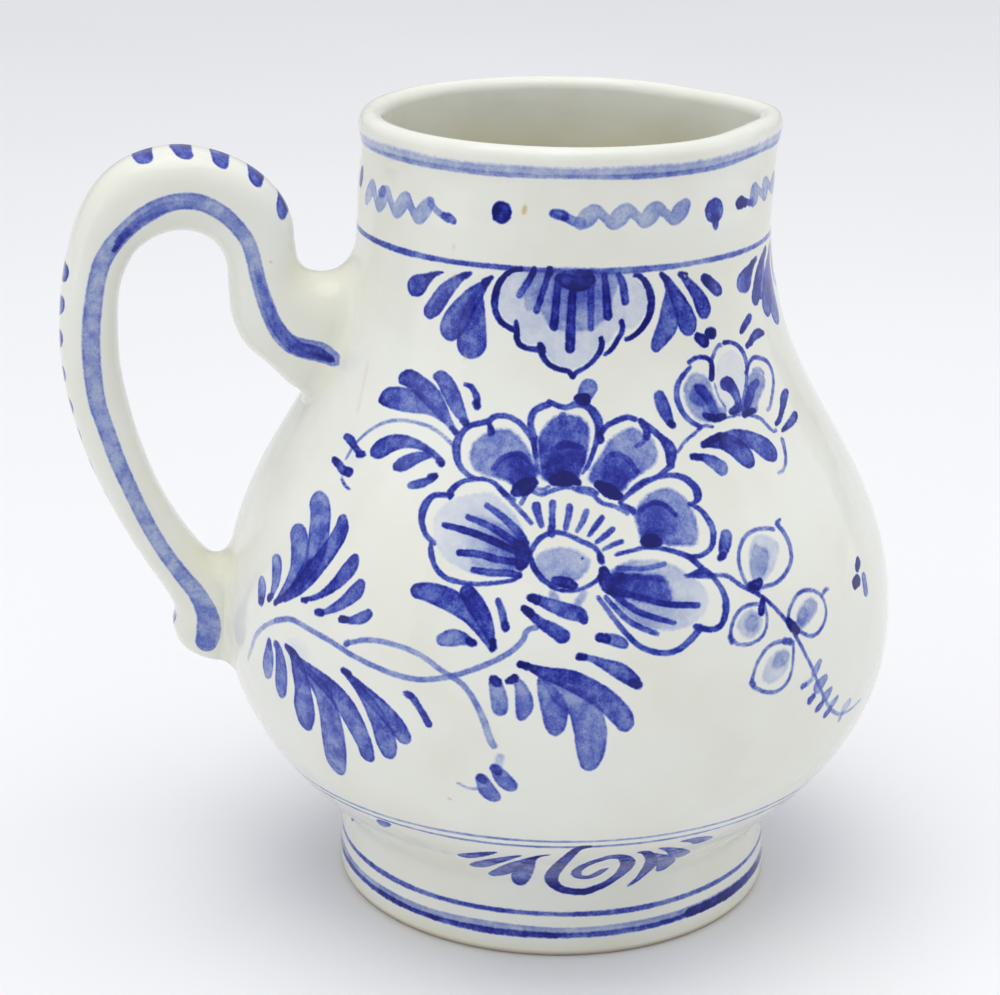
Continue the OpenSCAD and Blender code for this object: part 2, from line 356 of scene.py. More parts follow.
FLOWER = [
    # upper middle petal
    line(0.62, 0.48, (-15.3, 74.7), (-16.4, 76.3), (-15.8, 77.7), (-13.8, 78.4), (-12.6, 78.6)),
    leaf(0.62, (-12.5, 78.9, 0.4), (-8.8, 78.3, 0.4), (-6.2, 78.7, 0.5), (-3.7, 78.4, 0.5),
         (-1.9, 77.3, 0.6), (-1.3, 75.9, 0.55), (-2.3, 74, 0.4), (-3.8, 72, 0.35), (-5.2, 70.9, 0.25)),
    line(0.58, 0.33, (-15.4, 74.5), (-14.9, 72.6), (-14, 70.9)),
    wash((0.74, 0.56, (-9, 70)), (-14.5, 74.5), (-13.2, 76), (-10.9, 77.2), (-8.8, 77.5), (-5.9, 77.3),
         (-4.1, 76.5), (-3.5, 75.5), (-3.9, 73.4), (-5.1, 71.4), (-7.2, 69.8), (-10.9, 69.8), (-13, 70.2),
         (-13.9, 71.8)),
    wash((0.8, 0.58, (-9, 70)), (-12.4, 72.2), (-11.4, 73.6), (-8.8, 74.4), (-6, 74.1), (-4.4, 73),
         (-5.2, 71.4), (-7.2, 69.8), (-10.9, 69.8), (-12.8, 70.6)),
    leaf((0.6, 0.64), (-11.6, 73.5, 0.3), (-8.6, 74.1, 0.5), (-5, 73.7, 0.3)),
    blot(0.55, (-9.3, 77.3, 0.5), (-9, 76.5, 0.45)),
    blot(0.55, (-10.4, 73.9, 0.15), (-8.3, 74.1, 0.35), (-5.6, 73.9, 0.15)),
    blot(0.93, (-11, 70.1, 0.6), (-9, 70.3, 1.05), (-7.3, 70.2, 0.7), (-6, 69.8, 0.3)),
    blot(0.8, (-1.3, 75.2, 0.4), (-1.2, 74.6, 0.45)),
    # upper left petal
    leaf(0.62, (-14.7, 72.6, 0.4), (-15.5, 74.3, 0.4), (-17.2, 75.5, 0.4), (-19.3, 76.5, 0.4),
         (-22.2, 77, 0.4), (-24.7, 76.8, 0.4), (-25.9, 76.2, 0.45), (-29.7, 75.5, 0.4), (-31.6, 74.4, 0.5),
         (-32.1, 73, 0.6), (-31, 71.3, 0.5), (-29.3, 70.3, 0.4), (-26.8, 69.7, 0.35), (-24.3, 69.7, 0.3),
         (-22.4, 69.3, 0.35), (-20.5, 68.4, 0.4), (-18.4, 67.7, 0.35)),
    line(0.62, 0.35, (-25.9, 76.1), (-24.4, 75)),
    wash((0.58, 0.38, (-15, 70)), (-28.6, 73), (-28, 73.9), (-25.5, 75.1), (-22.6, 75.5), (-20.1, 75.3),
         (-17.6, 74.2), (-15.6, 72.6), (-14.2, 70.9), (-15, 69.7), (-18, 69.7), (-21.3, 69.9),
         (-24.3, 70.1), (-27.2, 70.7), (-28.6, 71.8)),
    wash((0.76, 0.5, (-15, 70)), (-23.4, 70.6), (-22.4, 72), (-20.5, 72.7), (-18, 72.9), (-15.7, 72),
         (-14.2, 70.9), (-15, 69.6), (-18, 69.3), (-21, 69.9)),
    line(0.62, 0.42, (-23.2, 71), (-22, 72.1), (-20, 72.7), (-18, 72.8), (-16.4, 72.2)),
    blot(0.95, (-18.3, 68.6, 0.55), (-16.7, 69.2, 1.15), (-15.1, 69.8, 0.65)),
    blot(0.55, (-25.2, 75.6, 0.3), (-25, 74.9, 0.4)),
    # upper right petal
    line(0.6, 0.4, (-0.7, 75.4), (0.3, 76.1), (3.3, 76.8), (5.3, 77), (7, 76.7)),
    leaf(0.66, (8, 76.5, 0.35), (9.9, 75.7, 0.5), (12.4, 74.4, 0.5), (14, 73, 0.75), (13.6, 71.5, 0.6)),
    leaf(0.6, (13.7, 71.2, 0.5), (10.8, 70.3, 0.35), (7.4, 69.5, 0.35), (3.7, 68.4, 0.35),
         (1.9, 67.6, 0.35)),
    wash((0.58, 0.38, (0, 69)), (-4, 70.1), (-3.4, 71.3), (-0.9, 73.2), (0.8, 74.5), (3.7, 75.5),
         (6.2, 75.8), (8.3, 75.1), (10.3, 74.3), (11, 72.8), (9.9, 71.5), (7.4, 70.7), (4.5, 69.9),
         (2.8, 68.8), (1.2, 68.4), (-1.3, 69.3)),
    wash((0.74, 0.5, (0, 69)), (-0.9, 71.5), (0.8, 72.7), (3, 72.8), (5.3, 71.7), (6.2, 70.5), (3.7, 69.7),
         (2, 68.8), (-1, 69.8)),
    line(0.62, 0.42, (-0.4, 72.2), (0.8, 72.8), (2.4, 72.9), (4.5, 72.2), (6.1, 70.8)),
    line(0.5, 0.35, (9.2, 74.6), (7.7, 73.9), (6.6, 73.7)),
    blot(0.75, (8.3, 76.4, 0.3), (9.4, 75.4, 0.45), (9.1, 74.7, 0.5)),
    blot(0.97, (-2.2, 69.7, 0.4), (0, 68.9, 0.9), (2, 68.2, 0.4)),
    blot(0.65, (2.2, 67.3, 0.3), (4.4, 66.5, 0.4)),
    line(0.5, 0.26, (13.8, 72.4), (15.6, 72.6), (17.8, 73.6), (20, 74.2), (22.5, 74.9)),
    # right petal
    leaf(0.62, (3.7, 68.4, 0.3), (6.2, 69.5, 0.35), (9.9, 70, 0.35), (13.3, 70.1, 0.4), (15.8, 69.6, 0.5),
         (17.6, 68.6, 0.55), (18, 67.5, 0.6), (17, 66.8, 0.35), (15.7, 66.7, 0.3)),
    leaf(0.62, (15.8, 66.7, 0.3), (17.8, 65.9, 0.4), (19.2, 64.3, 0.5), (19.3, 63, 0.5), (18.2, 61.6, 0.4),
         (15.8, 60.9, 0.35), (13.7, 61, 0.35)),
    leaf(0.6, (0.4, 61.9, 0.3), (3.7, 62.3, 0.3), (6.2, 62.5, 0.35), (9.9, 62, 0.35), (13.7, 60.9, 0.45),
         (15.8, 59.4, 0.4), (17.4, 58.5, 0.35)),
    wash((0.62, 0.38, (6, 63)), (4.5, 65.9), (5.8, 67.4), (8.3, 68.4), (11.6, 68.8), (14.1, 68),
         (15.6, 66.8), (16.4, 64.7), (16.1, 63), (14.9, 62.2), (11.2, 62.4), (7.8, 62.8), (5.3, 63),
         (4.9, 64.7)),
    wash((0.7, 0.42, (6.5, 63)), (5.2, 66.5), (8.3, 67.3), (11, 66.9), (12.4, 65.5), (11.6, 63.8), (8, 63),
         (5.4, 63.4)),
    line(0.62, 0.4, (5.6, 66.6), (8.3, 67.3), (10.8, 66.9), (12.5, 65.7)),
    blot(0.95, (5.6, 63.1, 0.45), (6.9, 63.2, 0.95), (8.2, 63, 0.6)),
    # left petal
    line(0.58, 0.34, (-14.8, 65.3), (-17.2, 66.7), (-19.7, 67.9), (-21.5, 68.8)),
    leaf(0.6, (-24.9, 69.8, 0.3), (-28.2, 69.4, 0.35), (-30.1, 68.8, 0.4), (-31.3, 67.8, 0.5),
         (-31, 67.2, 0.3)),
    leaf(0.62, (-30.8, 67.5, 0.4), (-32.8, 67.4, 0.4), (-34.7, 67.1, 0.45), (-35.8, 65.9, 0.6),
         (-35.7, 64.3, 0.5), (-34.3, 62.9, 0.4), (-32.2, 62, 0.35)),
    leaf(0.62, (-32.8, 61.9, 0.35), (-32.4, 60.9, 0.45), (-31.2, 59.5, 0.4), (-28.8, 58.4, 0.4),
         (-24.7, 58.1, 0.33), (-20.1, 58.5, 0.33), (-17.2, 59, 0.33), (-16.3, 59.6, 0.4)),
    wash((0.24, 0.1, (-16, 62)), (-33, 65.5), (-31, 66.9), (-27, 67.9), (-23, 68.3), (-20, 67.2),
         (-17, 65.4), (-15.5, 63), (-16, 60.5), (-19, 59.3), (-24, 59.2), (-29, 60.3), (-32, 62),
         (-33.2, 64)),
    wash((0.6, 0.12, (-15.5, 62)), (-25, 65.6), (-20, 65), (-15.8, 63.2), (-15.8, 60.4), (-19.5, 60),
         (-24.5, 60.3), (-26.5, 63)),
    leaf((0.5, 0.66), (-23.6, 66.9, 0.42), (-20.5, 65.9, 0.52), (-17.2, 64.3, 0.58), (-15.5, 63, 0.5)),
    leaf((0.55, 0.7), (-26.8, 65.4, 0.42), (-22.2, 64.6, 0.53), (-18.4, 63.4, 0.55), (-15.5, 62.4, 0.5)),
    leaf((0.8, 0.76), (-31.1, 64.2, 0.42), (-25.9, 63.8, 0.52), (-20.5, 62.9, 0.54), (-15.9, 61.8, 0.5)),
    leaf((0.7, 0.74), (-27.3, 61.4, 0.48), (-23.8, 61.5, 0.54), (-20.1, 61.1, 0.54), (-16.3, 61, 0.5)),
    leaf((0.7, 0.74), (-24.3, 59.7, 0.44), (-21.3, 59.6, 0.53), (-18.4, 59.7, 0.52), (-16.4, 59.5, 0.48)),
    blot((0.75, 0.97), (-17.2, 63.2, 0.45), (-15.9, 62.2, 0.98), (-16, 61.2, 0.95), (-16.3, 60.5, 0.5)),
    # lower right petal
    leaf(0.6, (-3, 57.2, 0.35), (-1.3, 55.5, 0.4), (0.8, 53.4, 0.4), (3.3, 51.4, 0.4), (6.2, 50.4, 0.42),
         (9.1, 50.3, 0.42), (11.6, 51.3, 0.5), (13.7, 52.6, 0.5)),
    leaf(0.64, (13.2, 52.9, 0.45), (15.8, 52.3, 0.4), (17.8, 52.8, 0.45), (19, 54.7, 0.55),
         (18.8, 56.5, 0.45), (17.4, 58.4, 0.4), (15.8, 59.2, 0.45), (13, 58.9, 0.3)),
    line(0.52, 0.34, (12.5, 58.9), (16.3, 58.6), (20, 58.2), (22.1, 57), (23.8, 56.2)),
    blot(0.6, (13.6, 58.9, 0.25), (16.5, 58.6, 0.35), (17.9, 58.3, 0.3)),
    wash((0.42, 0.12, (-1.5, 58.6)), (-1.6, 59.5), (0.8, 60.7), (4, 61.2), (9, 60.7), (12.5, 59.3),
         (15.8, 57), (15, 54.5), (12, 53.2), (8, 52.9), (4, 53.7), (1, 55.6), (-1, 57.5)),
    wash((0.86, 0.46, (-1.5, 58.6)), (-0.8, 59.9), (3.7, 59.7), (8.3, 59.2), (9.5, 57.2), (9.1, 56),
         (6.2, 56.1), (2, 56.9), (-0.8, 57.4)),
    line(0.5, 0.4, (0.5, 60.4), (5.3, 60.2), (8.9, 60.5)),
    leaf((0.7, 0.55), (-0.5, 59.3, 0.35), (3.7, 59.3, 0.35), (8.3, 58.6, 0.3)),
    leaf((0.75, 0.62), (-0.5, 58.1, 0.46), (4, 57, 0.48), (8.3, 56, 0.46), (13.9, 55.4, 0.44)),
    leaf((0.65, 0.54), (-1.3, 58, 0.42), (2.8, 55.7, 0.48), (6, 54.6, 0.46), (9.5, 53.7, 0.36)),
    leaf((0.6, 0.5), (-1.8, 57.2, 0.38), (2, 54.3, 0.44), (6.4, 52.6, 0.38)),
    blot((0.97, 0.7), (-2, 60.2, 0.5), (-1.4, 58.9, 1.05), (-0.6, 58.2, 0.85), (1.6, 57.9, 0.35)),
    blot(0.62, (13, 52.9, 0.3), (13.8, 52.7, 0.45)),
    blot(0.5, (18.9, 55, 0.35), (18.7, 54.6, 0.35)),
    # centre
    leaf(0.66, (-14.9, 61.9, 0.4), (-13.4, 63.5, 0.38), (-11.3, 64.3, 0.4), (-8.8, 64.3, 0.35),
         (-5.5, 63.4, 0.38), (-3.1, 62.6, 0.38), (-2.2, 61.4, 0.4)),
    leaf(0.66, (-14.7, 61.8, 0.4), (-13.4, 60, 0.45), (-11, 58.6, 0.4), (-8.8, 58, 0.3), (-6.3, 58.1, 0.3),
         (-3.4, 59, 0.33), (-2.2, 60, 0.33)),
    wash((0.44, 0.24, (-8.5, 59)), (-13.7, 61.3), (-12.6, 62.3), (-9.5, 62.8), (-6.2, 62.4), (-4.3, 61.4),
         (-5, 60), (-7.4, 58.9), (-10.5, 58.9), (-12.8, 59.9)),
    blot(0.85, (-10.2, 59.1, 0.5), (-8.4, 58.9, 0.7), (-6.9, 58.5, 0.35)),
    blot(0.75, (-2.5, 61.9, 0.3), (-2.2, 61.2, 0.35)),
    blot(0.7, (-11.2, 64.9, 0.3), (-11, 64.3, 0.45)),
    line(0.75, 0.22, (-5.6, 61.7), (-5.5, 61.5)),
    # base of the upper petals and the stamens
    line(0.5, 0.28, (-14.8, 69.4), (-13.2, 69), (-11.8, 69.4)),
    line(0.55, 0.33, (-6.2, 69.3), (-3.8, 69.1), (-2.4, 68.6)),
    line(0.5, 0.34, (-17, 67.4), (-15.6, 68.8), (-13.3, 68.5), (-11, 69), (-8, 69.4), (-5.6, 68.9),
         (-3.5, 68.6), (-1.6, 67.6), (0.8, 67.2), (3.2, 66.3)),
    leaf(0.55, (-14.1, 67.2, 0.6), (-13.6, 66.2, 0.52), (-12.9, 65.1, 0.42)),
    leaf(0.6, (-11, 67.6, 0.5), (-11, 66.3, 0.45), (-11, 64.9, 0.5)),
    leaf(0.58, (-7.8, 67.2, 0.5), (-8, 66.2, 0.48), (-8.5, 64.9, 0.42)),
    leaf(0.56, (-4.6, 66.7, 0.45), (-5.4, 65.6, 0.42), (-6.4, 64.6, 0.35)),
    leaf(0.56, (-1.7, 66, 0.42), (-3, 65.1, 0.42), (-4.3, 64.1, 0.32)),
    leaf(0.54, (0.1, 64.7, 0.4), (-1.4, 64, 0.42), (-3, 63.3, 0.32)),
    leaf(0.52, (1.6, 63.3, 0.36), (0, 63, 0.36), (-1.9, 62.5, 0.28)),
    # bud above and knots below
    leaf(0.5, (-4.4, 79.6, 0.8), (-3.4, 80.6, 0.95)),
    blot(0.98, (-5.9, 79.3, 0.5), (-4.7, 79.2, 0.85), (-3.9, 79.4, 0.5)),
    leaf(0.6, (-14.1, 57.1, 0.48), (-11.3, 56.5, 0.7), (-8.3, 55.7, 0.82), (-6.2, 55.3, 0.78),
         (-5.3, 54.6, 0.48)),
    leaf(0.6, (-15.1, 55.8, 0.45), (-12.6, 54.4, 0.62), (-10.4, 53.5, 0.76), (-8.9, 52.8, 0.82)),
    blot(0.9, (-14.1, 57.1, 0.45), (-13.1, 56.9, 0.55)),
    blot(0.85, (-15.1, 55.8, 0.42), (-14.1, 55.3, 0.52)),
    blot(0.6, (-6.1, 55.2, 0.4), (-5.4, 54.5, 0.32)),
    line(0.3, 0.5, (-10.6, 57.6), (-9.7, 56.5), (-9.1, 55.4), family="wash"),
    line(0.3, 0.5, (-5.4, 57.8), (-6.2, 56.8), (-7.2, 55.8), family="wash"),
    leaf(0.5, (-3, 52.6, 0.55), (-1, 52.3, 0.7), (0.4, 51.9, 0.68), (1, 51.6, 0.55)),
    blot(0.93, (-3, 52.6, 0.48), (-1.8, 52.4, 0.55)),
]

HANGING_FLOWER = [
    wash(0.15, (-20.5, 94.8), (-24, 93.8), (-26.2, 92), (-26.4, 90.2), (-24.6, 88.5), (-21.5, 87.7),
         (-20.4, 86.4), (-18, 85.6), (-15, 85.7), (-13.6, 84.4), (-10.5, 83.3), (-7.2, 82.9), (-3.6, 83.6),
         (-0.8, 85.2), (2, 86.1), (4.8, 87.6), (8, 87.5), (11, 88.8), (12.4, 90.6), (11.8, 92.4),
         (9.5, 93.6), (7.5, 94.7)),
    wash((0.55, 0.26, (-6, 93.5)), (-17.5, 94.7), (3.4, 94.7), (2.8, 91), (2, 89.3), (-3, 87.5), (-9, 87.4),
         (-13, 88), (-15.5, 89.8), (-19.5, 90)),
    leaf((0.97, 0.85), (-20.7, 94.9, 0.35), (-22.6, 94.7, 0.35), (-24.7, 94, 0.38), (-26.5, 92.7, 0.45),
         (-27.3, 91, 0.52), (-27, 89.5, 0.48), (-25.5, 88.2, 0.42), (-23.4, 87.6, 0.4),
         (-21.3, 87.2, 0.45)),
    leaf(0.86, (-21.4, 88.3, 0.3), (-21.2, 87.2, 0.42), (-20.8, 86, 0.42), (-19.7, 85.4, 0.38),
         (-17.6, 85.1, 0.38), (-15.3, 85.1, 0.45)),
    leaf(0.86, (-15.2, 85.6, 0.45), (-14.6, 84.5, 0.42), (-13, 83.4, 0.38), (-10.5, 82.8, 0.36),
         (-8, 82.5, 0.36), (-7.1, 81.9, 0.36), (-6.3, 82.4, 0.33), (-3.8, 83.1, 0.33), (-1.4, 84.2, 0.38),
         (0, 85.5, 0.42), (-0.1, 86.5, 0.35)),
    leaf(0.82, (0.8, 84.5, 0.3), (2.4, 85.1, 0.33), (4.1, 86.3, 0.36), (5.4, 87.4, 0.36), (5.2, 88.4, 0.4)),
    leaf(0.92, (6.2, 86.2, 0.3), (8.3, 86.6, 0.36), (10.8, 87.6, 0.42), (12.7, 89, 0.5), (13.4, 90.6, 0.55),
         (12.9, 92.1, 0.52), (11.6, 93.3, 0.45), (9.9, 94, 0.35), (8.8, 94.1, 0.28)),
    leaf((0.8, 0.5), (-17.4, 94.7, 0.42), (-18.8, 93.3, 0.5), (-21, 91.6, 0.5)),
    leaf((0.8, 0.62), (-13.4, 94.8, 0.45), (-14.7, 92.5, 0.45), (-16.4, 89.8, 0.5)),
    leaf((0.7, 0.72), (-11, 94, 0.5), (-11.4, 91.3, 0.55), (-11.9, 87.9, 0.58)),
    leaf((0.72, 0.78), (-7.2, 93.3, 0.5), (-7.6, 89.2, 0.6), (-7.8, 85.3, 0.62)),
    leaf((0.6, 0.55), (-2.6, 93.3, 0.5), (-2.7, 90.4, 0.5), (-2.6, 87.7, 0.45)),
    leaf((0.75, 0.74), (0.8, 94.3, 0.45), (1.3, 92, 0.55), (1.7, 89.2, 0.6)),
    leaf((0.74, 0.66), (4.5, 94.3, 0.45), (5.7, 93, 0.55), (6.3, 90.9, 0.55)),
    blot(0.9, (-10.6, 93.9, 0.6), (-8.8, 93.6, 0.95), (-6.4, 93.3, 1), (-4.4, 93.4, 0.95),
         (-2.9, 93.8, 0.7)),
    blot(0.7, (-9.5, 94.5, 0.4), (-3, 94.5, 0.4)),
    blot(0.85, (-17.3, 94.9, 0.3), (-17.9, 94.2, 0.3)),
    blot(0.85, (-13.3, 95, 0.35), (-13.2, 94.6, 0.4)),
    blot(0.75, (-14.8, 85.3, 0.4), (-14.5, 84.9, 0.35)),
]

NECK_LEAVES = [
    # left of the hanging flower
    leaf((0.9, 0.62), (-42.3, 93.4, 0.12), (-45, 92.9, 0.34), (-48, 92, 0.7), (-50.4, 91.1, 1.1),
         (-51.9, 90.8, 1.05)),
    leaf((0.66, 0.68), (-34.2, 93.7, 0.15), (-36, 93.4, 0.4), (-38.9, 92.3, 0.7), (-41.8, 90.8, 0.9),
         (-44.2, 89, 1), (-45.7, 88.2, 0.85)),
    leaf((0.7, 0.62), (-28.3, 93.5, 0.2), (-30, 92.7, 0.5), (-32.7, 91.2, 0.9), (-35.2, 89.6, 1.2),
         (-37.6, 87.6, 1.5), (-38.8, 86.6, 1.35)),
    leaf(0.6, (-30.6, 92.2, 0.4), (-31.8, 91.3, 0.6), (-32.7, 89.2, 1.2), (-32.9, 86.9, 1.6),
         (-32.6, 85.2, 1.7)),
    line(0.6, 0.12, (-29, 93), (-31.2, 91.9), (-33.8, 90), (-36, 88), family="dark"),
    blot(0.9, (-28.5, 93.5, 0.2), (-30.3, 92.8, 0.42)),
    blot(0.85, (-34.4, 93.7, 0.15), (-36.6, 93.2, 0.38)),
    blot(0.7, (-44, 93.1, 0.15), (-46.4, 92.7, 0.3)),
    # right of it
    leaf((0.7, 0.62), (16.2, 94, 0.2), (17.7, 93.3, 0.5), (19.6, 91.8, 0.7), (22, 89.6, 0.98),
         (23.5, 87.6, 1.2), (23.7, 87, 1)),
    leaf(0.6, (17.8, 92.8, 0.4), (18.5, 91.7, 0.55), (18.7, 89.6, 1.05), (17.8, 87.6, 1.2), (15.4, 86, 0.9),
         (14, 85.1, 0.7)),
    line(0.6, 0.12, (17.2, 93.2), (18.6, 91.6), (20.4, 89.2), family="dark"),
    blot(0.85, (16.4, 93.9, 0.22), (17.8, 93.2, 0.42)),
    leaf(0.68, (21.6, 93.8, 0.25), (23, 93.3, 0.5), (25.1, 92.1, 0.64), (27.4, 90.7, 0.8), (29, 89.1, 1),
         (29.2, 88.6, 0.9)),
    blot(0.85, (21.9, 93.7, 0.25), (23.4, 93.3, 0.5)),
    leaf(0.74, (29.4, 92.8, 0.4), (30.4, 92.5, 0.66), (32.8, 91.5, 0.74), (34.5, 90.8, 0.72),
         (35.6, 90.5, 0.4)),
    blot(0.85, (29.6, 92.8, 0.35), (30.9, 92.4, 0.6)),
    blot(0.93, (26.2, 85.5, 0.5), (27.8, 84.9, 0.75), (28.6, 84.6, 0.5)),
    blot(0.9, (30.1, 85.7, 0.7), (31.1, 85.6, 0.7)),
]

UPPER_LEFT_SPRAY = [
    leaf((0.72, 0.5), (-50, 79.4, 0.75), (-48, 79.6, 0.95), (-44.5, 79, 1.05), (-41, 78.1, 1.1),
         (-38, 76.9, 0.85), (-35, 75.5, 0.55), (-33, 74.6, 0.35)),
    leaf((0.74, 0.45), (-54.8, 76.3, 0.55), (-52.7, 76.8, 1.05), (-48.5, 77, 1.25), (-44.3, 77, 1.1),
         (-40.2, 76.6, 0.7), (-36, 75.6, 0.35)),
    leaf(0.62, (-40.8, 80.5, 0.5), (-38.9, 80.4, 0.8), (-36, 78.9, 0.95), (-33.1, 77, 0.75),
         (-31, 75.8, 0.42)),
    leaf(0.62, (-32.8, 80.1, 0.28), (-31, 79.9, 0.42), (-29.4, 78.8, 0.5), (-29, 77.9, 0.45)),
    line(0.38, 0.28, (-57.3, 70.7), (-55.2, 72.3), (-51.4, 73.9), (-46.4, 74.7), (-40.2, 74.7), (-36, 74),
         (-32.6, 72.9)),
    line(0.35, 0.3, (-57.9, 70), (-58.3, 68.6)),
    leaf(0.5, (-57.2, 66.4, 0.28), (-55.5, 65.8, 0.28), (-53.6, 65.5, 0.2)),
    leaf((0.6, 0.66), (-61.5, 70.9, 0.45), (-59.3, 70.7, 0.62), (-56.8, 70.1, 0.5), (-54.8, 69.7, 0.5),
         (-53.5, 69.7, 0.3)),
    leaf(0.68, (-62.2, 68, 0.32), (-60.2, 67.8, 0.58), (-57.7, 67.3, 0.6), (-55.6, 67.3, 0.62)),
    leaf(0.64, (-51.3, 70.5, 0.75), (-50, 70.9, 1.05), (-47.7, 71.8, 0.95), (-44.3, 72.4, 0.75),
         (-40.2, 72.3, 0.55), (-36.8, 71.7, 0.45), (-34.4, 70.9, 0.45)),
    leaf((0.72, 0.5), (-44.6, 69.5, 0.6), (-43, 70, 0.85), (-40.2, 71, 0.7), (-37.2, 71.5, 0.35)),
    leaf((0.6, 0.7), (-40.1, 67.8, 0.5), (-38.1, 68.2, 0.62), (-36, 68.8, 0.5), (-34.9, 69.3, 0.3)),
    blot(0.9, (-34.1, 74.9, 0.25), (-32.9, 74.5, 0.32)),
    blot(0.8, (-32, 76, 0.35), (-31, 75.7, 0.4)),
    blot(0.8, (-29.6, 78.2, 0.35), (-29, 77.8, 0.42)),
    blot(0.85, (-35.3, 71.1, 0.38), (-34.4, 70.8, 0.38)),
    blot(0.75, (-36.3, 69.1, 0.4), (-35.3, 69.3, 0.35)),
    blot(0.8, (-55.2, 69.6, 0.42), (-54.2, 69.7, 0.42)),
    blot(0.75, (-61.6, 67.9, 0.35), (-60.5, 67.8, 0.42)),
    blot(0.8, (-56.6, 67.3, 0.55), (-55.8, 67.3, 0.55)),
]

LEFT_SPRAY = [
    leaf((0.5, 0.62), (-61.2, 62.9, 1.2), (-59.4, 62.2, 1.5), (-57.6, 60.2, 1.6), (-56.5, 57.5, 1.5),
         (-57.4, 54.5, 1.1), (-60, 51.7, 0.7), (-62.6, 49.9, 0.4)),
    leaf(0.64, (-52.8, 62, 0.75), (-52.2, 60.8, 1.05), (-53.2, 58.6, 1.15), (-55.2, 55.9, 1.2),
         (-57.7, 53.2, 1), (-61, 50.7, 0.6)),
    leaf((0.5, 0.58), (-63.6, 58.6, 0.95), (-62.2, 58.2, 1.35), (-60.4, 56.7, 1.5), (-59.8, 54.6, 1.25),
         (-61, 52.2, 0.8), (-63.3, 49.5, 0.4)),
    leaf((0.45, 0.55), (-67, 54.4, 0.65), (-65.8, 53.9, 0.95), (-64.8, 52.2, 0.85), (-65, 50.4, 0.55),
         (-65.4, 49.5, 0.45)),
    leaf((0.42, 0.55), (-69.4, 50.8, 0.7), (-68.6, 50, 0.95), (-68.1, 48.6, 0.75)),
    line(0.5, 0.12, (-55.8, 60), (-56.2, 57), (-57.5, 54.6), (-60.2, 52.2), (-62.5, 50.3), family="dark"),
    blot(0.7, (-57.5, 55.8, 0.35), (-57, 56.3, 0.3)),
    blot(0.75, (-65.7, 49.5, 0.45), (-65, 49.9, 0.4)),
    blot(0.75, (-68.4, 48.5, 0.55), (-67.9, 48.6, 0.5)),
    blot(0.7, (-63.6, 49.4, 0.35), (-62.3, 50.3, 0.35)),
    leaf(0.68, (-47.2, 58.1, 0.75), (-47.8, 56.9, 0.95), (-49.8, 54.8, 0.75), (-52.7, 52.8, 0.48),
         (-55.9, 51.6, 0.34)),
    leaf(0.62, (-44.6, 55.6, 0.72), (-45.2, 54.6, 0.9), (-47.7, 52.7, 0.7), (-50.6, 51.2, 0.45),
         (-52.5, 50.8, 0.42)),
    leaf(0.66, (-41.8, 52.5, 0.62), (-42.8, 51.9, 0.72), (-45.2, 51.1, 0.5), (-47.2, 51, 0.36)),
    blot(0.88, (-56.4, 51.5, 0.28), (-55.5, 51.6, 0.3)),
    blot(0.88, (-52.6, 50.7, 0.36), (-51.4, 50.9, 0.45)),
    blot(0.98, (-47.2, 50.9, 0.32), (-45.9, 51.1, 0.36)),
    blot(0.72, (-47.2, 58.4, 0.5), (-47.6, 57.8, 0.5)),
]

STEMS = [
    leaf((0.15, 0.36), (-71.8, 39.2, 0.34), (-70.2, 41.2, 0.44), (-68.5, 43.6, 0.44), (-66, 45.5, 0.4),
         (-62.7, 47.2, 0.38)),
    line(0.38, 0.42, (-62.7, 47.2), (-59.3, 48.3), (-56.8, 48.5), (-52.7, 48.2), (-48.5, 47.8), (-44.3, 47),
         (-40.2, 46.4), (-36, 45.9), (-31.8, 45.8), (-27.7, 46.5), (-24.3, 47.5), (-20.1, 49.1),
         (-17.2, 50.5), (-15.2, 52), (-14.5, 53.3), (-13, 53.7)),
    leaf(0.36, (-45.4, 48.1, 0.45), (-44.3, 48.5, 0.36), (-41, 49.4, 0.4), (-36.8, 49.6, 0.4),
         (-31.8, 49, 0.41), (-27.7, 47.4, 0.41), (-24.7, 46.3, 0.44), (-22.6, 44.5, 0.44), (-20.9, 42, 0.5),
         (-19.7, 39.2, 0.55), (-19.1, 38.3, 0.5)),
    blot(0.45, (-45.3, 48.1, 0.35), (-44.9, 48.3, 0.35)),
    leaf(0.24, (-18.2, 36.7, 0.6), (-18.4, 35.3, 0.5), family="wash"),
    leaf(0.28, (-25.2, 32.1, 0.28), (-23.4, 31.5, 0.28), (-21, 31.7, 0.36)),
    leaf(0.5, (-18.7, 34.8, 0.75), (-17.6, 33.4, 0.95), (-16.7, 32.6, 0.85)),
    leaf(0.5, (-21.2, 33.3, 0.75), (-20.3, 31.4, 1), (-19.5, 30.6, 0.85)),
    blot(0.72, (-19, 35.1, 0.6), (-18.5, 34.6, 0.6)),
    blot(0.7, (-21.3, 33.4, 0.6), (-21, 33, 0.6)),
]

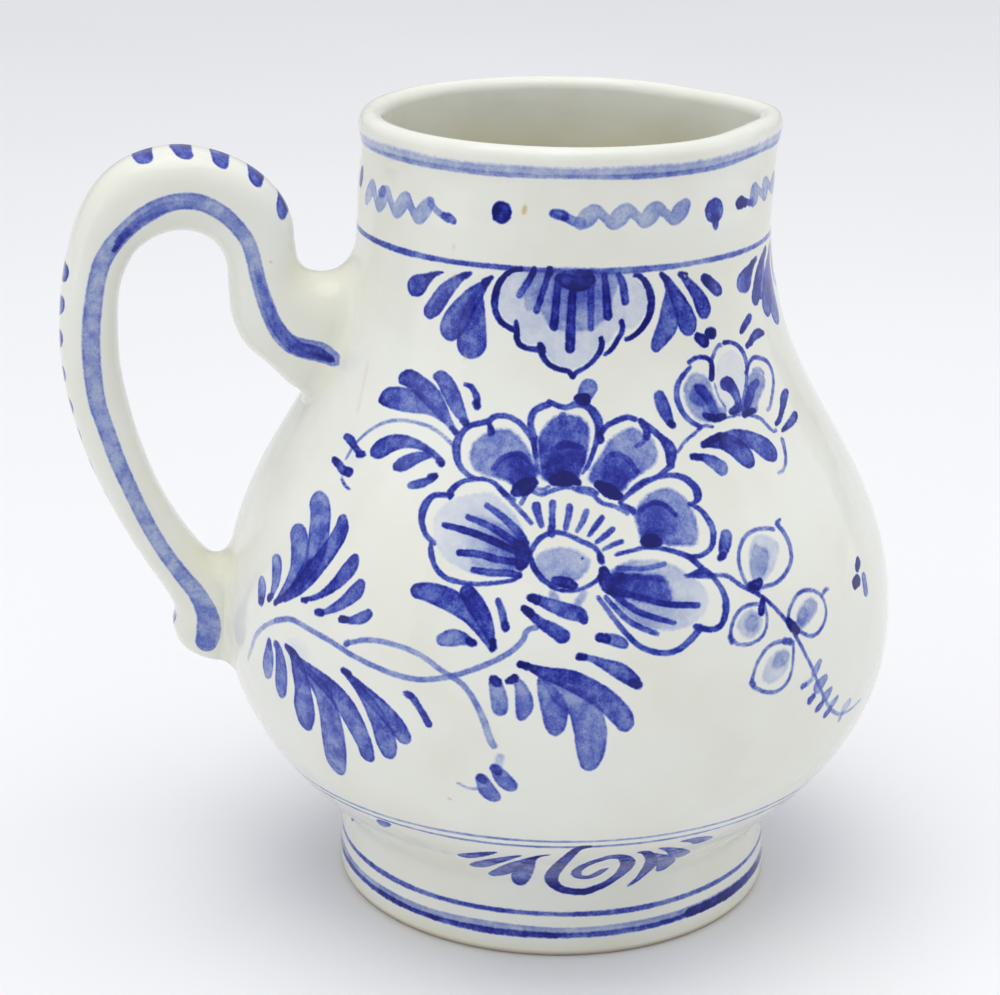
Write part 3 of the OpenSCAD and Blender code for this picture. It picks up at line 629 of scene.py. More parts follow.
LOWER_SPRAYS = [
    # far left
    leaf((0.55, 0.42), (-63.9, 44, 0.55), (-63.8, 42.2, 0.95), (-64.2, 40.4, 1.1), (-64.6, 39.3, 0.7)),
    leaf((0.55, 0.5), (-61.9, 44.3, 0.5), (-60.7, 43.3, 0.8), (-60, 41.2, 1.1), (-60.2, 38.8, 1.1),
         (-60.5, 37.7, 0.7)),
    leaf((0.75, 0.55), (-59, 44.7, 0.35), (-56.8, 44, 0.75), (-55.2, 42.1, 1.2), (-54.2, 39.6, 1.4),
         (-54.2, 37.2, 1.7), (-54.5, 35.3, 1.2)),
    leaf((0.6, 0.52), (-54.8, 43.2, 0.6), (-52, 42, 0.9), (-49.4, 40.2, 1.3), (-48.1, 37.2, 1.6),
         (-48.1, 33.6, 1.7), (-48.9, 30.5, 1.45), (-49.2, 29.2, 0.9)),
    leaf((0.65, 0.56), (-55.5, 43.6, 0.6), (-49.3, 42.1, 1), (-45.3, 40.2, 1.3), (-42.9, 37.7, 1.3),
         (-41.5, 35.2, 1.1), (-41.2, 33.6, 0.95)),
    line(0.5, 0.12, (-57.5, 44), (-54.5, 42.7), (-52.2, 41.2), (-50.9, 39.9), family="dark"),
    blot(0.75, (-58.9, 44.7, 0.32), (-57.4, 44.4, 0.42)),
    blot(0.65, (-63.9, 44, 0.45), (-63.6, 43.4, 0.5)),
    blot(0.6, (-62, 44.2, 0.42), (-61.2, 44.2, 0.42)),
    # middle left
    leaf((0.66, 0.56), (-45.2, 44.5, 0.42), (-42.3, 43.2, 0.7), (-38.3, 41.2, 0.95), (-35.4, 39.3, 1.05),
         (-34, 37.8, 0.95)),
    leaf((0.6, 0.58), (-43, 43.3, 0.5), (-40, 41.2, 0.9), (-38.1, 38.8, 1.2), (-37.2, 36.4, 1.3),
         (-37, 34.9, 0.9)),
    line(0.45, 0.12, (-42, 43.3), (-39.5, 41.2), (-37.2, 39.2), (-35.8, 38), family="dark"),
    blot(0.85, (-45.3, 44.6, 0.4), (-44.2, 44.3, 0.42)),
    leaf(0.62, (-33.7, 43.7, 0.4), (-32.5, 43.4, 0.52), (-30.7, 41.6, 0.52), (-29.6, 40.2, 0.55)),
    blot(0.72, (-33.2, 43.6, 0.4), (-32.7, 43.5, 0.4)),
    # middle
    leaf(0.5, (-19.1, 46.6, 0.75), (-18.5, 44.9, 0.9), (-18.3, 43.5, 0.85)),
    blot(0.95, (-19.4, 47.1, 0.5), (-18.8, 46.7, 0.58)),
    leaf(0.5, (-16.1, 47.3, 0.5), (-15.1, 46.3, 0.7), (-14.5, 44.2, 0.95), (-14.9, 42.7, 0.65)),
    blot(0.93, (-17.1, 47, 0.3), (-16.1, 47.4, 0.48)),
    leaf((0.8, 0.56), (-15.4, 49.1, 0.32), (-13.8, 48.9, 0.48), (-11.3, 48.2, 0.75), (-7.2, 47.3, 1.1),
         (-2.7, 45.2, 1.2), (0.2, 42.9, 1.15), (1, 41.7, 0.95)),
    leaf(0.5, (-11.3, 47.5, 0.5), (-8.8, 45.6, 1.1), (-5.7, 44, 1.5), (-4.4, 41.2, 1.7), (-4.2, 38.3, 1.5),
         (-4.3, 36.4, 1)),
    leaf(0.52, (-12.1, 47.4, 0.5), (-11.1, 45.9, 0.95), (-10, 44, 1.35), (-9.7, 41.8, 1.1),
         (-9.7, 40.9, 0.7)),
    line(0.5, 0.12, (-13.5, 48.5), (-8.8, 46.7), (-5, 45.2), (-2.7, 43.9), family="dark"),
    blot(0.97, (-15.4, 49.2, 0.34), (-14.2, 49, 0.42)),
    # right
    leaf((0.5, 0.7), (-6.3, 50.3, 0.32), (-4.8, 50.2, 0.42), (-2.6, 49.5, 0.62), (0.2, 48.4, 0.85),
         (2.2, 47.2, 0.75), (3, 46.6, 0.5)),
    blot(0.95, (-6.3, 50.3, 0.34), (-5.4, 50.3, 0.38)),
    blot(0.85, (2.2, 46.9, 0.55), (3.1, 46.6, 0.5)),
    # leaves under the left petal
    leaf((0.75, 0.55), (-33.6, 56.4, 0.8), (-31.6, 56.5, 1), (-28.8, 56.2, 1.15), (-26, 55.5, 1.1),
         (-23.5, 54.3, 0.9), (-21.6, 52.6, 0.65), (-20.2, 51, 0.4)),
    leaf((0.7, 0.6), (-24.8, 57.1, 0.85), (-23.2, 55.8, 1), (-21.3, 53.8, 0.85), (-20.2, 52, 0.55),
         (-19.8, 50.9, 0.38)),
    line(0.45, 0.12, (-25.3, 55.8), (-23.4, 54.4), (-21.4, 52.8), (-20.3, 51.6), family="dark"),
    blot(0.9, (-19.9, 51.8, 0.35), (-19.8, 50.9, 0.42)),
    leaf(0.62, (-19.5, 56.5, 0.45), (-18.8, 55.4, 0.5), (-18, 53.5, 0.5)),
    blot(0.8, (-18.1, 53.9, 0.4), (-18, 53.4, 0.45)),
    leaf(0.56, (-28.2, 51.2, 0.7), (-26.6, 51.6, 0.9), (-25, 51.7, 0.75), (-23.2, 51.3, 0.48)),
    blot(0.78, (-23.8, 51.5, 0.42), (-23, 51.3, 0.42)),
]

TULIP = [
    leaf((0.62, 0.85), (22.5, 82.6, 0.33), (24.6, 83, 0.33), (27.5, 82.9, 0.35), (29.2, 82.2, 0.4),
         (29, 81.1, 0.5), (28.4, 80.3, 0.5)),
    leaf(0.56, (22.9, 82.1, 0.3), (20.2, 81.1, 0.4), (18.5, 80.1, 0.45), (17.9, 78.6, 0.48),
         (18.6, 77, 0.45), (20.4, 75.7, 0.42), (22.5, 75, 0.35)),
    wash(0.34, (20, 79.7), (22.1, 80.9), (24.2, 81.3), (26.7, 80.7), (27.9, 79.7), (28.3, 78), (29.2, 76.8),
         (30.8, 76.5), (29.6, 75.5), (26.7, 75.5), (23.8, 75.5), (21.7, 76.1), (20.2, 77.6)),
    wash(0.45, (20.8, 78.6), (22.5, 79.7), (25.4, 80), (26.7, 79), (27.9, 78.2), (28.3, 77), (29.6, 75.5),
         (26.7, 75.2), (24.2, 75.5), (23.8, 77), (21.7, 77.8)),
    blot((0.75, 0.5), (23.7, 79.5, 0.45), (25, 79, 0.75), (26.3, 77.9, 0.7), (27, 76.7, 0.6),
         (27.5, 75.9, 0.4)),
    blot(0.88, (24.2, 76.2, 0.35), (26.5, 75.7, 0.5), (29.5, 75.6, 0.35)),
    line(0.55, 0.28, (21.6, 74.8), (23.8, 75), (25.6, 74.7)),
    line(0.5, 0.22, (26.7, 75.3), (30, 75.4), (35, 75.3)),
    leaf(0.46, (36.4, 75.1, 0.25), (40, 74.3, 0.36), (41.7, 73.2, 0.36), (43, 72.3, 0.3),
         (44.3, 72.3, 0.25)),
    leaf((0.55, 0.42), (29.4, 82.3, 0.35), (31.3, 83.5, 0.33), (32.9, 84, 0.33), (33.5, 83.9, 0.28)),
    leaf((0.68, 0.42), (34.6, 84.1, 0.36), (36.7, 84, 0.33), (39.2, 83.4, 0.36), (40.9, 82.4, 0.45),
         (41.4, 81, 0.45), (40.5, 79.7, 0.4), (39.2, 78.4, 0.4), (37.1, 77.1, 0.38), (35.3, 75.6, 0.35)),
    line(0.42, 0.25, (29, 79.5), (29.4, 77.8), (30.6, 76.6)),
    wash(0.08, (30, 80.5), (32.5, 82.6), (37, 83), (39.8, 81.6), (40, 80), (38, 77.8), (36, 76.4),
         (34, 75.6), (31.5, 75.8), (30, 77.5)),
    leaf((0.74, 0.6), (31.9, 79.2, 0.7), (33.3, 79.1, 0.85), (34.5, 78.2, 0.75), (34.9, 77, 0.65),
         (34.3, 76, 0.6)),
    blot(0.62, (32.2, 79.3, 0.35), (33.4, 78.9, 0.45)),
    blot(0.75, (31.8, 75.9, 0.35), (33.4, 76, 0.48), (34.4, 76.4, 0.35)),
    leaf((0.6, 0.4), (40.2, 79.8, 0.36), (42.5, 80.8, 0.33), (45, 81.2, 0.33), (48.3, 80.7, 0.36),
         (50.6, 79.9, 0.4), (51.2, 78.7, 0.42), (50, 77.3, 0.36), (47.1, 75.9, 0.34), (45, 75, 0.32),
         (43.7, 74.8, 0.28)),
    line(0.3, 0.33, (43.3, 79.8), (45.8, 79.7), (47.1, 79)),
    wash(0.36, (35.6, 75.5), (37.1, 76.7), (39.2, 77.9), (40.6, 79.2), (42.5, 79.6), (45.4, 79.4),
         (46.9, 78.6), (46.5, 77.8), (44.6, 77.1), (41.7, 76.1), (40, 75.2), (36, 75)),
    leaf((0.6, 0.55), (37, 75.9, 0.5), (38.9, 76.9, 0.7), (41.2, 77.9, 0.65), (43.6, 78.3, 0.5)),
    blot((0.5, 0.35), (35.8, 75.5, 0.35), (38, 76.8, 0.35), (40.4, 78.1, 0.3), (42.6, 78.6, 0.25)),
    blot(0.85, (35.5, 75.2, 0.34), (37.6, 75.3, 0.42), (39.4, 75.3, 0.25)),
    # leaves under it
    leaf((0.8, 0.64), (22, 72.9, 0.4), (24.6, 73, 0.7), (27.2, 72.9, 0.95), (29.6, 72.1, 1.1),
         (31.6, 70.9, 1.2), (32.4, 70.2, 0.95)),
    leaf((0.66, 0.62), (24.4, 73.4, 0.4), (28, 73.3, 0.62), (31, 73.1, 0.8), (33.8, 72.5, 0.95),
         (36.3, 71.8, 1.05), (38.4, 70.8, 1.25), (39.6, 70.2, 1.05)),
    blot(0.85, (22, 72.9, 0.34), (25, 73.3, 0.42), (28.5, 73.5, 0.2)),
    leaf((0.75, 0.56), (18.6, 71.8, 0.32), (20.8, 71.6, 0.5), (23.2, 70.9, 0.75), (25, 70, 0.85)),
    blot(0.8, (18.7, 71.8, 0.32), (20.6, 71.6, 0.4)),
    leaf((0.3, 0.5), (39.4, 67.7, 0.28), (41.3, 67.9, 0.28), (43.3, 68.8, 0.32), (44.4, 70, 0.42),
         (44.9, 70.9, 0.5)),
    leaf((0.8, 0.64), (44.8, 72.9, 0.28), (46.7, 73.2, 0.42), (49.2, 74, 0.5), (51.7, 75, 0.7),
         (54, 75.5, 0.62), (55.3, 75.6, 0.4)),
    leaf((0.78, 0.6), (46.1, 71.9, 0.25), (48.3, 72.1, 0.45), (51.7, 72.4, 0.6), (54, 72.7, 0.6),
         (55, 72.8, 0.4)),
    # small strokes round it
    leaf(0.6, (13.5, 79.1, 0.72), (14, 77.9, 0.82), (14.9, 76.3, 0.65), (15.5, 75.7, 0.45)),
    blot(0.85, (15.1, 75.9, 0.4), (15.7, 75.6, 0.4)),
    leaf((0.85, 0.62), (41.6, 84.8, 0.28), (43.3, 85.3, 0.5), (46.2, 86, 0.6), (47.5, 86.2, 0.35)),
    leaf((0.9, 0.66), (43, 82.9, 0.3), (45, 83.2, 0.5), (47.3, 83.7, 0.6), (50, 83.8, 0.62),
         (52.6, 83.5, 0.28)),
    blot(0.85, (42.1, 84.9, 0.28), (44, 85.3, 0.35)),
    blot(0.85, (43.2, 82.9, 0.3), (45.4, 83.2, 0.38)),
    leaf((0.85, 0.55), (20, 60.4, 0.5), (21, 61.5, 0.75), (21.9, 62.6, 0.75)),
    blot(0.85, (19.5, 60.3, 0.36), (20.4, 60.6, 0.4)),
]

BERRIES = [
    line(0.48, 0.32, (24, 56.2), (23.2, 58), (23.2, 59.7), (24.3, 61.2), (26.3, 62.2), (28.8, 62.5),
         (31.3, 62.3), (32.8, 62)),
    leaf(0.5, (35.2, 62.8, 0.25), (33.9, 62.5, 0.36), (34.9, 61.4, 0.42), (35.4, 59.8, 0.42),
         (34.7, 58.1, 0.38), (32.7, 56.9, 0.34), (30.2, 56.1, 0.32), (27.9, 56, 0.32), (25.8, 56, 0.32)),
    wash(0.16, (25, 57.2), (26, 60.6), (28.6, 61.9), (31, 61.4), (32.8, 60.2), (31, 58.4), (28, 56.9)),
    wash(0.28, (25, 57.2), (25.6, 59.6), (27.4, 60.9), (29.5, 60.3), (30, 59.3), (28.6, 57.8),
         (26.5, 56.9)),
    blot(0.9, (24.4, 56.6, 0.36), (25.7, 56.4, 0.68), (26.6, 56.8, 0.34)),
    leaf(0.6, (23.8, 56.2, 0.34), (25.8, 55.2, 0.34), (27.5, 54.1, 0.33), (29.2, 52.6, 0.33),
         (30.8, 51, 0.36), (32.1, 49.2, 0.36)),
    leaf((0.5, 0.26), (32.1, 49.2, 0.36), (33.8, 46.6, 0.32), (35.4, 44.3, 0.32), (36.8, 41.9, 0.34),
         (38.9, 39.2, 0.34), (40.8, 37.2, 0.33), (43.3, 35.7, 0.33), (45.6, 34.9, 0.33), (49.2, 34.6, 0.3),
         (52.8, 34.8, 0.3)),
    line(0.48, 0.3, (19.1, 50.8), (19.5, 52.3), (20.9, 53.7), (22.9, 54.3), (25.3, 54.2)),
    line(0.44, 0.28, (26.5, 54), (26.6, 52.6), (26.2, 51.3), (25, 50.2), (22.9, 49.7), (20.5, 49.9),
         (19.1, 50.8)),
    blot(0.6, (19, 51, 0.34), (19.3, 50.5, 0.34)),
    blot(0.82, (26.4, 54.6, 0.34), (25.9, 53.8, 0.48), (25.6, 53.1, 0.42)),
    wash(0.2, (20.6, 52.4), (22.4, 53.6), (24.6, 53.5), (25.6, 52.2), (24.6, 50.9), (22.6, 50.4),
         (21, 51.2)),
    wash(0.26, (22, 52.4), (23.2, 53.2), (24.6, 52.9), (24.8, 51.8), (23.6, 51), (22.2, 51.4)),
    line(0.48, 0.32, (30.8, 51.3), (31.8, 52.6), (33.8, 53.8), (35.8, 54.1), (38.3, 53.6), (40, 52.5),
         (40.5, 51), (39.8, 49.6), (37.9, 48.5), (35.8, 48.3), (33.8, 49.1), (32.5, 49.9)),
    leaf(0.5, (39.9, 52.6, 0.34), (41.3, 53.1, 0.36), (42.3, 53.1, 0.25)),
    wash(0.28, (32.7, 50.3), (33.5, 51.9), (35.6, 52.9), (37.2, 52.9), (38.5, 52), (37.9, 51.1),
         (35.8, 50.2), (33.6, 49.7)),
    wash(0.35, (32.8, 50.6), (33.4, 51.8), (34.8, 52.3), (36, 51.6), (35.6, 50.7), (34.2, 50)),
    blot(0.92, (30.9, 51.3, 0.34), (31.7, 50.4, 0.66), (32.7, 49.6, 0.42)),
    leaf(0.44, (30.8, 48.7, 0.36), (27.9, 49, 0.32), (25.8, 48.6, 0.3), (23.9, 47.3, 0.3),
         (22.9, 45.8, 0.3), (22.6, 44.5, 0.4), (23.9, 43.5, 0.32), (26.3, 42.7, 0.32), (28.3, 42.8, 0.32),
         (29.9, 43.6, 0.3), (30.8, 45, 0.3), (31.3, 47, 0.3), (31.5, 48.4, 0.3)),
    blot(0.62, (29.6, 48.9, 0.36), (30.9, 48.5, 0.42)),
    blot(0.5, (22.5, 44.7, 0.36), (22.9, 44.3, 0.34)),
    wash(0.16, (24.6, 44.8), (25.6, 46.9), (28, 48), (30.2, 47.6), (30.2, 46), (29, 44.7), (26.5, 43.9)),
    wash(0.26, (26.6, 46), (27.4, 47.5), (29.4, 47.8), (30.4, 47), (29.6, 45.9), (28, 45.6)),
    # beads along the tail
    leaf(0.36, (36.1, 43.4, 0.65), (37.5, 44.5, 0.5)),
    leaf(0.36, (37.1, 41.2, 0.85), (38.9, 41.9, 0.6)),
    leaf(0.38, (39.2, 39.2, 0.75), (40.6, 39.9, 0.5)),
    leaf(0.34, (41.2, 37.4, 0.65), (42.8, 38.1, 0.45)),
    leaf(0.22, (46, 35.6, 0.75), (47.3, 36, 0.7)),
    leaf(0.34, (35.4, 42.6, 0.36), (34, 42.2, 0.36), family="wash"),
    blot(0.5, (33.9, 42.2, 0.3), (33.2, 42.1, 0.36)),
    blot(0.62, (36, 40.1, 0.4), (35.1, 39.7, 0.48)),
    blot(0.52, (38.4, 38.4, 0.45), (37.3, 37.9, 0.45)),
    blot(0.5, (41, 37, 0.5), (39.9, 36.4, 0.45)),
    blot(0.28, (45.6, 34.9, 0.5), (45.3, 34.3, 0.5)),
    # three small marks beyond
    blot(0.97, (50.9, 51.8, 0.72), (52.2, 51.9, 0.8)),
    blot(0.9, (53, 53.3, 0.5), (54.3, 53.9, 0.6)),
    leaf(0.4, (54.6, 49.9, 0.75), (54.9, 51.5, 0.75)),
]

FOOT_MOTIF = [
    leaf((0.8, 0.55), (-20.8, 19, 0.2), (-22.2, 18.6, 0.48), (-25.2, 17.6, 0.7), (-28.6, 16.6, 0.72),
         (-29.8, 16.4, 0.45)),
    leaf((0.8, 0.58), (-16, 18.7, 0.2), (-18, 18, 0.48), (-22, 16.4, 0.76), (-26, 14.7, 0.84),
         (-28.3, 13.9, 0.55)),
    leaf((0.8, 0.62), (-10.2, 19.3, 0.18), (-12.5, 18.7, 0.35), (-14.4, 17.6, 0.66), (-17.8, 15.6, 0.92),
         (-21.5, 13.4, 0.9), (-24.3, 12.3, 0.6)),
    leaf(0.62, (-13.8, 17.6, 0.5), (-15.4, 15.3, 0.9), (-17, 12.8, 1.1), (-17.7, 11.4, 0.85)),
    leaf((0.85, 0.62), (-2.6, 21.3, 0.36), (-4.4, 21.1, 0.55), (-5.6, 20.1, 0.62), (-7.1, 17.9, 0.72),
         (-8.6, 15.5, 0.78), (-9.7, 13.1, 0.8), (-9.4, 11.4, 0.74), (-7.5, 10.3, 0.6), (-4.5, 9.8, 0.52),
         (-1, 9.7, 0.52), (1.5, 10.1, 0.52), (4.8, 11, 0.62), (6.8, 12.5, 0.74), (7.4, 14.4, 0.84),
         (6.7, 16.4, 0.84), (4.8, 17.9, 0.76), (2.4, 18.3, 0.68), (0.6, 17.8, 0.64), (-1.4, 17, 0.62),
         (-3.2, 15.7, 0.64), (-4.1, 14.2, 0.64), (-3.4, 13, 0.62), (-1.3, 12.6, 0.6), (0.6, 13.1, 0.64),
         (1.9, 14.3, 0.58), (2.7, 14.8, 0.36)),
    blot(0.5, (-2.8, 21.3, 0.28), (-4.2, 21.1, 0.46)),
    blot(0.6, (-0.8, 9.8, 0.35), (0.8, 10, 0.46), (1.8, 10.3, 0.28)),
    blot(0.55, (1.4, 18.1, 0.24), (-0.4, 17.4, 0.42), (-2.4, 16.4, 0.36)),
    blot(0.55, (-0.6, 12.6, 0.4), (0.9, 13.3, 0.42), (2, 14.4, 0.3)),
    leaf((0.85, 0.62), (8, 18.8, 0.34), (9.8, 18.3, 0.6), (12.4, 16, 0.74), (13.9, 13.3, 0.84),
         (13, 11.1, 0.56), (10.3, 9.9, 0.2)),
    leaf((0.62, 0.55), (10.8, 17.8, 0.5), (14.6, 15.8, 1), (18.2, 13.7, 1.15), (18.6, 12.4, 0.85)),
    leaf((0.62, 0.5), (12.2, 19.1, 0.26), (15.2, 18.1, 0.66), (18.6, 16.4, 1.02), (20.8, 15.4, 0.92)),
    leaf((0.6, 0.45), (16.2, 20, 0.24), (19.2, 19.6, 0.68), (21.8, 18.9, 0.9), (24, 18.7, 0.55)),
]
FOOT_FILLER = [leaf((0.62, 0.5), (43.2, 20.6, 0.36), (45.2, 20.1, 0.8), (46.2, 19.4, 0.62))]


def neck_wave(ink, heights, blobs):
    """A wavy pale stroke, broad where it climbs and narrower where it falls."""
    low, high = heights
    middle = (low + high) / 2
    points = []
    for at in blobs:
        points += [(at - 2.1, low + 0.75, 0.7), (at - 0.2, middle, 0.96), (at + 1.8, high - 0.72, 0.74),
                   (at + 4.2, middle + 0.05, 0.62)]
    return [leaf(ink, *points[:-1])]


def moved(motif, place):
    """The motif with a rule applied to every azimuth in it."""
    out = []
    for family, ink, points in motif:
        if isinstance(ink, tuple) and len(ink) == 3:
            near, far, (azimuth, z) = ink
            ink = (near, far, (place(azimuth), z))
        out.append((family, ink, [(place(p[0]), *p[1:]) for p in points]))
    return out


def shifted(motif, by):
    """The motif moved round the jug by some degrees."""
    return moved(motif, lambda azimuth: azimuth + by)


def mirrored(motif):
    """The motif on the far side of the jug, so that handle and spout keep their neighbours."""
    return moved(motif, lambda azimuth: 180 - azimuth)


DOT = [blot(0.93, (0, 101.6, 1.25), (0, 101.95, 1.28))]
NECK_BAND = (
    neck_wave((0.26, 0.34), (98.8, 102.5), [-76.5, -67.6, -58.6, -49.7])
    + [leaf((0.3, 0.4), (-47.9, 101.8, 0.5), (-45, 100.9, 0.5), (-43, 100.5, 0.5))]
    + [blot(0.62, (-42.9, 100.5, 0.45), (-41.2, 100.3, 0.55), (-40, 100.1, 0.42))]
    + [leaf((0.32, 0.4), (-69.5, 101.3, 0.6), (-68, 101.6, 0.75))]
    + shifted(DOT, -26.3)
    + [blot(0.6, (-12.6, 102, 0.5), (-10.9, 101.9, 0.6), (-9.6, 101.7, 0.5))]
    + [leaf((0.42, 0.3), (-9.6, 101.6, 0.55), (-7.3, 101.1, 0.62), (-5.6, 100.9, 0.7))]
    + neck_wave((0.3, 0.34), (100, 103.1), [-3.6, 4.9, 13.3, 22])
    + [leaf(0.62, (33.3, 101, 1.2), (34.4, 101.1, 1.25)), leaf(0.55, (34, 99.9, 0.7), (34.2, 98.9, 0.45))]
    + [blot(0.35, (33, 100.4, 0.5), (34.8, 100.3, 0.5))]
    + [blot(0.96, (44.8, 101, 0.55), (46.8, 101.1, 0.72), (48.6, 100.9, 0.55))]
    + [leaf((0.6, 0.34), (49.5, 100.9, 0.5), (51.8, 100.6, 0.5), (53.4, 100.7, 0.5))]
    + neck_wave((0.34, 0.28), (99.9, 102.7), [55.2, 64.2, 73.0])
)
NEXT_LEAF = [
    leaf((0.66, 0.62), (54.9, 93.1, 0.15), (52.1, 92.6, 0.4), (49.2, 91.6, 0.75), (47.1, 90.6, 1),
         (45.8, 90.3, 0.75)),
    blot(0.7, (53.8, 93, 0.18), (50.8, 92.6, 0.32)),
]
# Faint places where the wash ran, round the stems and leaves on the left.
HAZE = [
    wash((0.09, 0, (-56, 43.4)), (-60.5, 45), (-56, 46.6), (-51.5, 45), (-50, 43), (-52, 41.4), (-56, 40.6),
         (-60, 42)),
    wash((0.05, 0, (-56, 68.6)), (-60, 69.5), (-56, 71), (-52, 69.5), (-52, 67.5), (-56, 66.2),
         (-60, 67.5)),
]

FRONT = (
    FLOWER + HANGING_FLOWER + NECK_LEAVES + UPPER_LEFT_SPRAY + LEFT_SPRAY + STEMS + LOWER_SPRAYS + TULIP
    + BERRIES + HAZE
)
SCENE_STROKES = (
    FRONT
    + mirrored(FRONT)
    + NECK_BAND
    + mirrored(NECK_BAND)
    + shifted(DOT, -87)
    + shifted(DOT, 93)
    + NEXT_LEAF
    + mirrored(NEXT_LEAF)
    + shifted(HANGING_FLOWER + NECK_LEAVES[:8], 97)
    + [leaf((0.5, 0.6), (63.4, 93.4, 0.2), (59.4, 92.2, 0.6), (56.6, 90.4, 1.3), (55, 89.4, 1.5))]
    + [blot(0.93, (28, 3.75, 0.4), (30, 3.75, 0.62), (45, 3.75, 0.66), (62, 3.8, 0.4))]
)
for quarter in (0, 90, 180, 270):
    SCENE_STROKES += shifted(FOOT_MOTIF, quarter) + mirrored(shifted(FOOT_FILLER, -quarter))

# Painted rings: height, half width, ink and family of layers.
RINGS = [
    (107.15, 0.62, 0.27, "wash"), (106.52, 0.34, 0.34, "line"), (94.85, 0.36, 0.5, "line"),
    (22.5, 0.29, 0.34, "line"), (21.25, 0.29, 0.36, "line"), (6.45, 0.34, 0.52, "line"),
    (3.95, 0.66, 0.32, "line"), (3.4, 0.42, 0.66, "dark"),
]


# Distances to the paint are worked out only this far from it.
AREA_MARGIN = 2.5
STROKE_MARGIN = 1.2
NARROWEST_R = 27          # a little less than the least radius that carries paint


def flattened(azimuth, z, middle):
    """Distance round the body from the middle azimuth, and distance up its surface."""
    return (azimuth - middle) * np.radians(radius_at(z)), climb_at(z)


def paint_stroke(painter, azimuth, z, climb, stroke):
    """One stroke or area, on points of the body. climb is their distance up the surface."""
    family, ink, points = stroke
    is_area = len(points[0]) == 2
    path = curved(points, closed=is_area)
    middle = (path[:, 0].min() + path[:, 0].max()) / 2
    reach = (path[:, 0].max() - path[:, 0].min()) / 2
    margin = AREA_MARGIN if is_area else STROKE_MARGIN + path[:, 2].max()
    turned = turned_from(azimuth, middle)
    close = np.abs(turned) < reach + margin / np.radians(NARROWEST_R)
    close &= (z > path[:, 1].min() - margin) & (z < path[:, 1].max() + margin)
    where = np.nonzero(close)[0]
    flat = path.copy()
    flat[:, 0], flat[:, 1] = flattened(path[:, 0], path[:, 1], middle)
    if is_area and isinstance(ink, tuple):
        near, far, (focus, height) = ink
        ink = (near, far, flattened(focus, height, middle))
    u, v = turned[where] * np.radians(radius_at(z[where])), climb[where]
    (painter.area if is_area else painter.stroke)(family, where, u, v, flat, ink)


def paint_body(azimuth, z):
    """Attributes of the painting for points of the body at these azimuths and heights."""
    painter = Painter(len(z))
    climb = climb_at(z)
    for stroke in SCENE_STROKES:
        paint_stroke(painter, azimuth, z, climb, stroke)
    for height, half, ink, family in RINGS:
        where = np.nonzero(np.abs(z - height) < AREA_MARGIN)[0]
        a = np.radians(azimuth[where])
        wander = 0.05 * np.sin(3 * a + height) + 0.04 * np.sin(7 * a + 2 * height)
        swell = 1 + 0.12 * np.sin(5 * a + height) + 0.08 * np.sin(11 * a)
        strength = ink * (1 + 0.12 * np.sin(2 * a + 1.3 * height) + 0.08 * np.sin(9 * a + height))
        gap = np.abs(climb[where] - climb_at(height) + wander) - half * swell
        painter.put(family, where, gap, np.clip(strength, 0, 1))
    return painter.attributes()


# Small iron specks and one drip in the glaze: strength, and a line of azimuth, height and half width.
TAN_MARKS = [
    (0.85, [(-20.1, 102.7, 0.05), (-20.3, 102.1, 0.12)]),
    (0.3, [(-33.8, 83.4, 0.03), (-33.8, 83.1, 0.03)]),
    (0.35, [(-39.6, 97, 0.03), (-39.6, 96.7, 0.03)]),
    (0.3, [(-39.1, 93.3, 0.03), (-39.1, 92.9, 0.03)]),
    (0.2, [(-63.5, 79.7, 0.05), (-62.8, 77.8, 0.03), (-61.8, 75.8, 0.05), (-61, 74.2, 0.12)]),
]
TAN_EDGE = 0.3            # over which the edge of a mark fades


def tan_marks(azimuth, z):
    """Strength of the tan stain for points of the body at these azimuths and heights."""
    amount = np.zeros(len(z))
    for strength, points in TAN_MARKS:
        path = curved(points)
        middle = path[:, 0].mean()
        turned = turned_from(azimuth, middle)
        close = (z > path[:, 1].min() - 1) & (z < path[:, 1].max() + 1)
        where = np.nonzero(close & (np.abs(turned) < 12))[0]
        flat = np.stack([(path[:, 0] - middle) * np.radians(radius_at(path[:, 1])), path[:, 1]], 1)
        gap, _ = to_segments(turned[where] * np.radians(radius_at(z[where])), z[where], flat)
        nearest = (gap - path[:-1, 2]).min(1)
        amount[where] = np.maximum(amount[where], strength * smooth(1.2 - nearest / TAN_EDGE))
    return amount


# The crooks of the handle, where thick glaze and painted shade both show as a darker yellowish tint:
# distance from the axis, height, reach of the tint and its strength.
CROOKS = [(34, 89, 5, 0.45), (46.5, 49, 6, 0.4), (46.5, 36, 4, 0.2)]


def pooling_and_shade(points):
    """Strength of a darker yellowish tint that stands for glaze lying thick and for painted shade: in the
    crook of each joint, and low on the foot.
    """
    amount = 0.5 * smooth((2.6 - points[:, 2]) / 1.6)
    for rho, z, reach, most in CROOKS:
        gap = np.linalg.norm(points - np.array([-rho, 0, z]), axis=1)
        amount = np.maximum(amount, most * smooth(1.6 - gap / reach))
    return amount


# ---- body ----

# Columns of points stand closer together on the front than on the back.
FRONT_START = -104
FRONT_END = 86
FRONT_STEP = 0.38
BACK_COLUMNS = 216
near_side = np.arange(FRONT_START, FRONT_END, FRONT_STEP)
far_side = np.linspace(FRONT_END, FRONT_START + 360, BACK_COLUMNS, endpoint=False)
azimuths = np.concatenate([near_side, far_side])
column_count = len(azimuths)

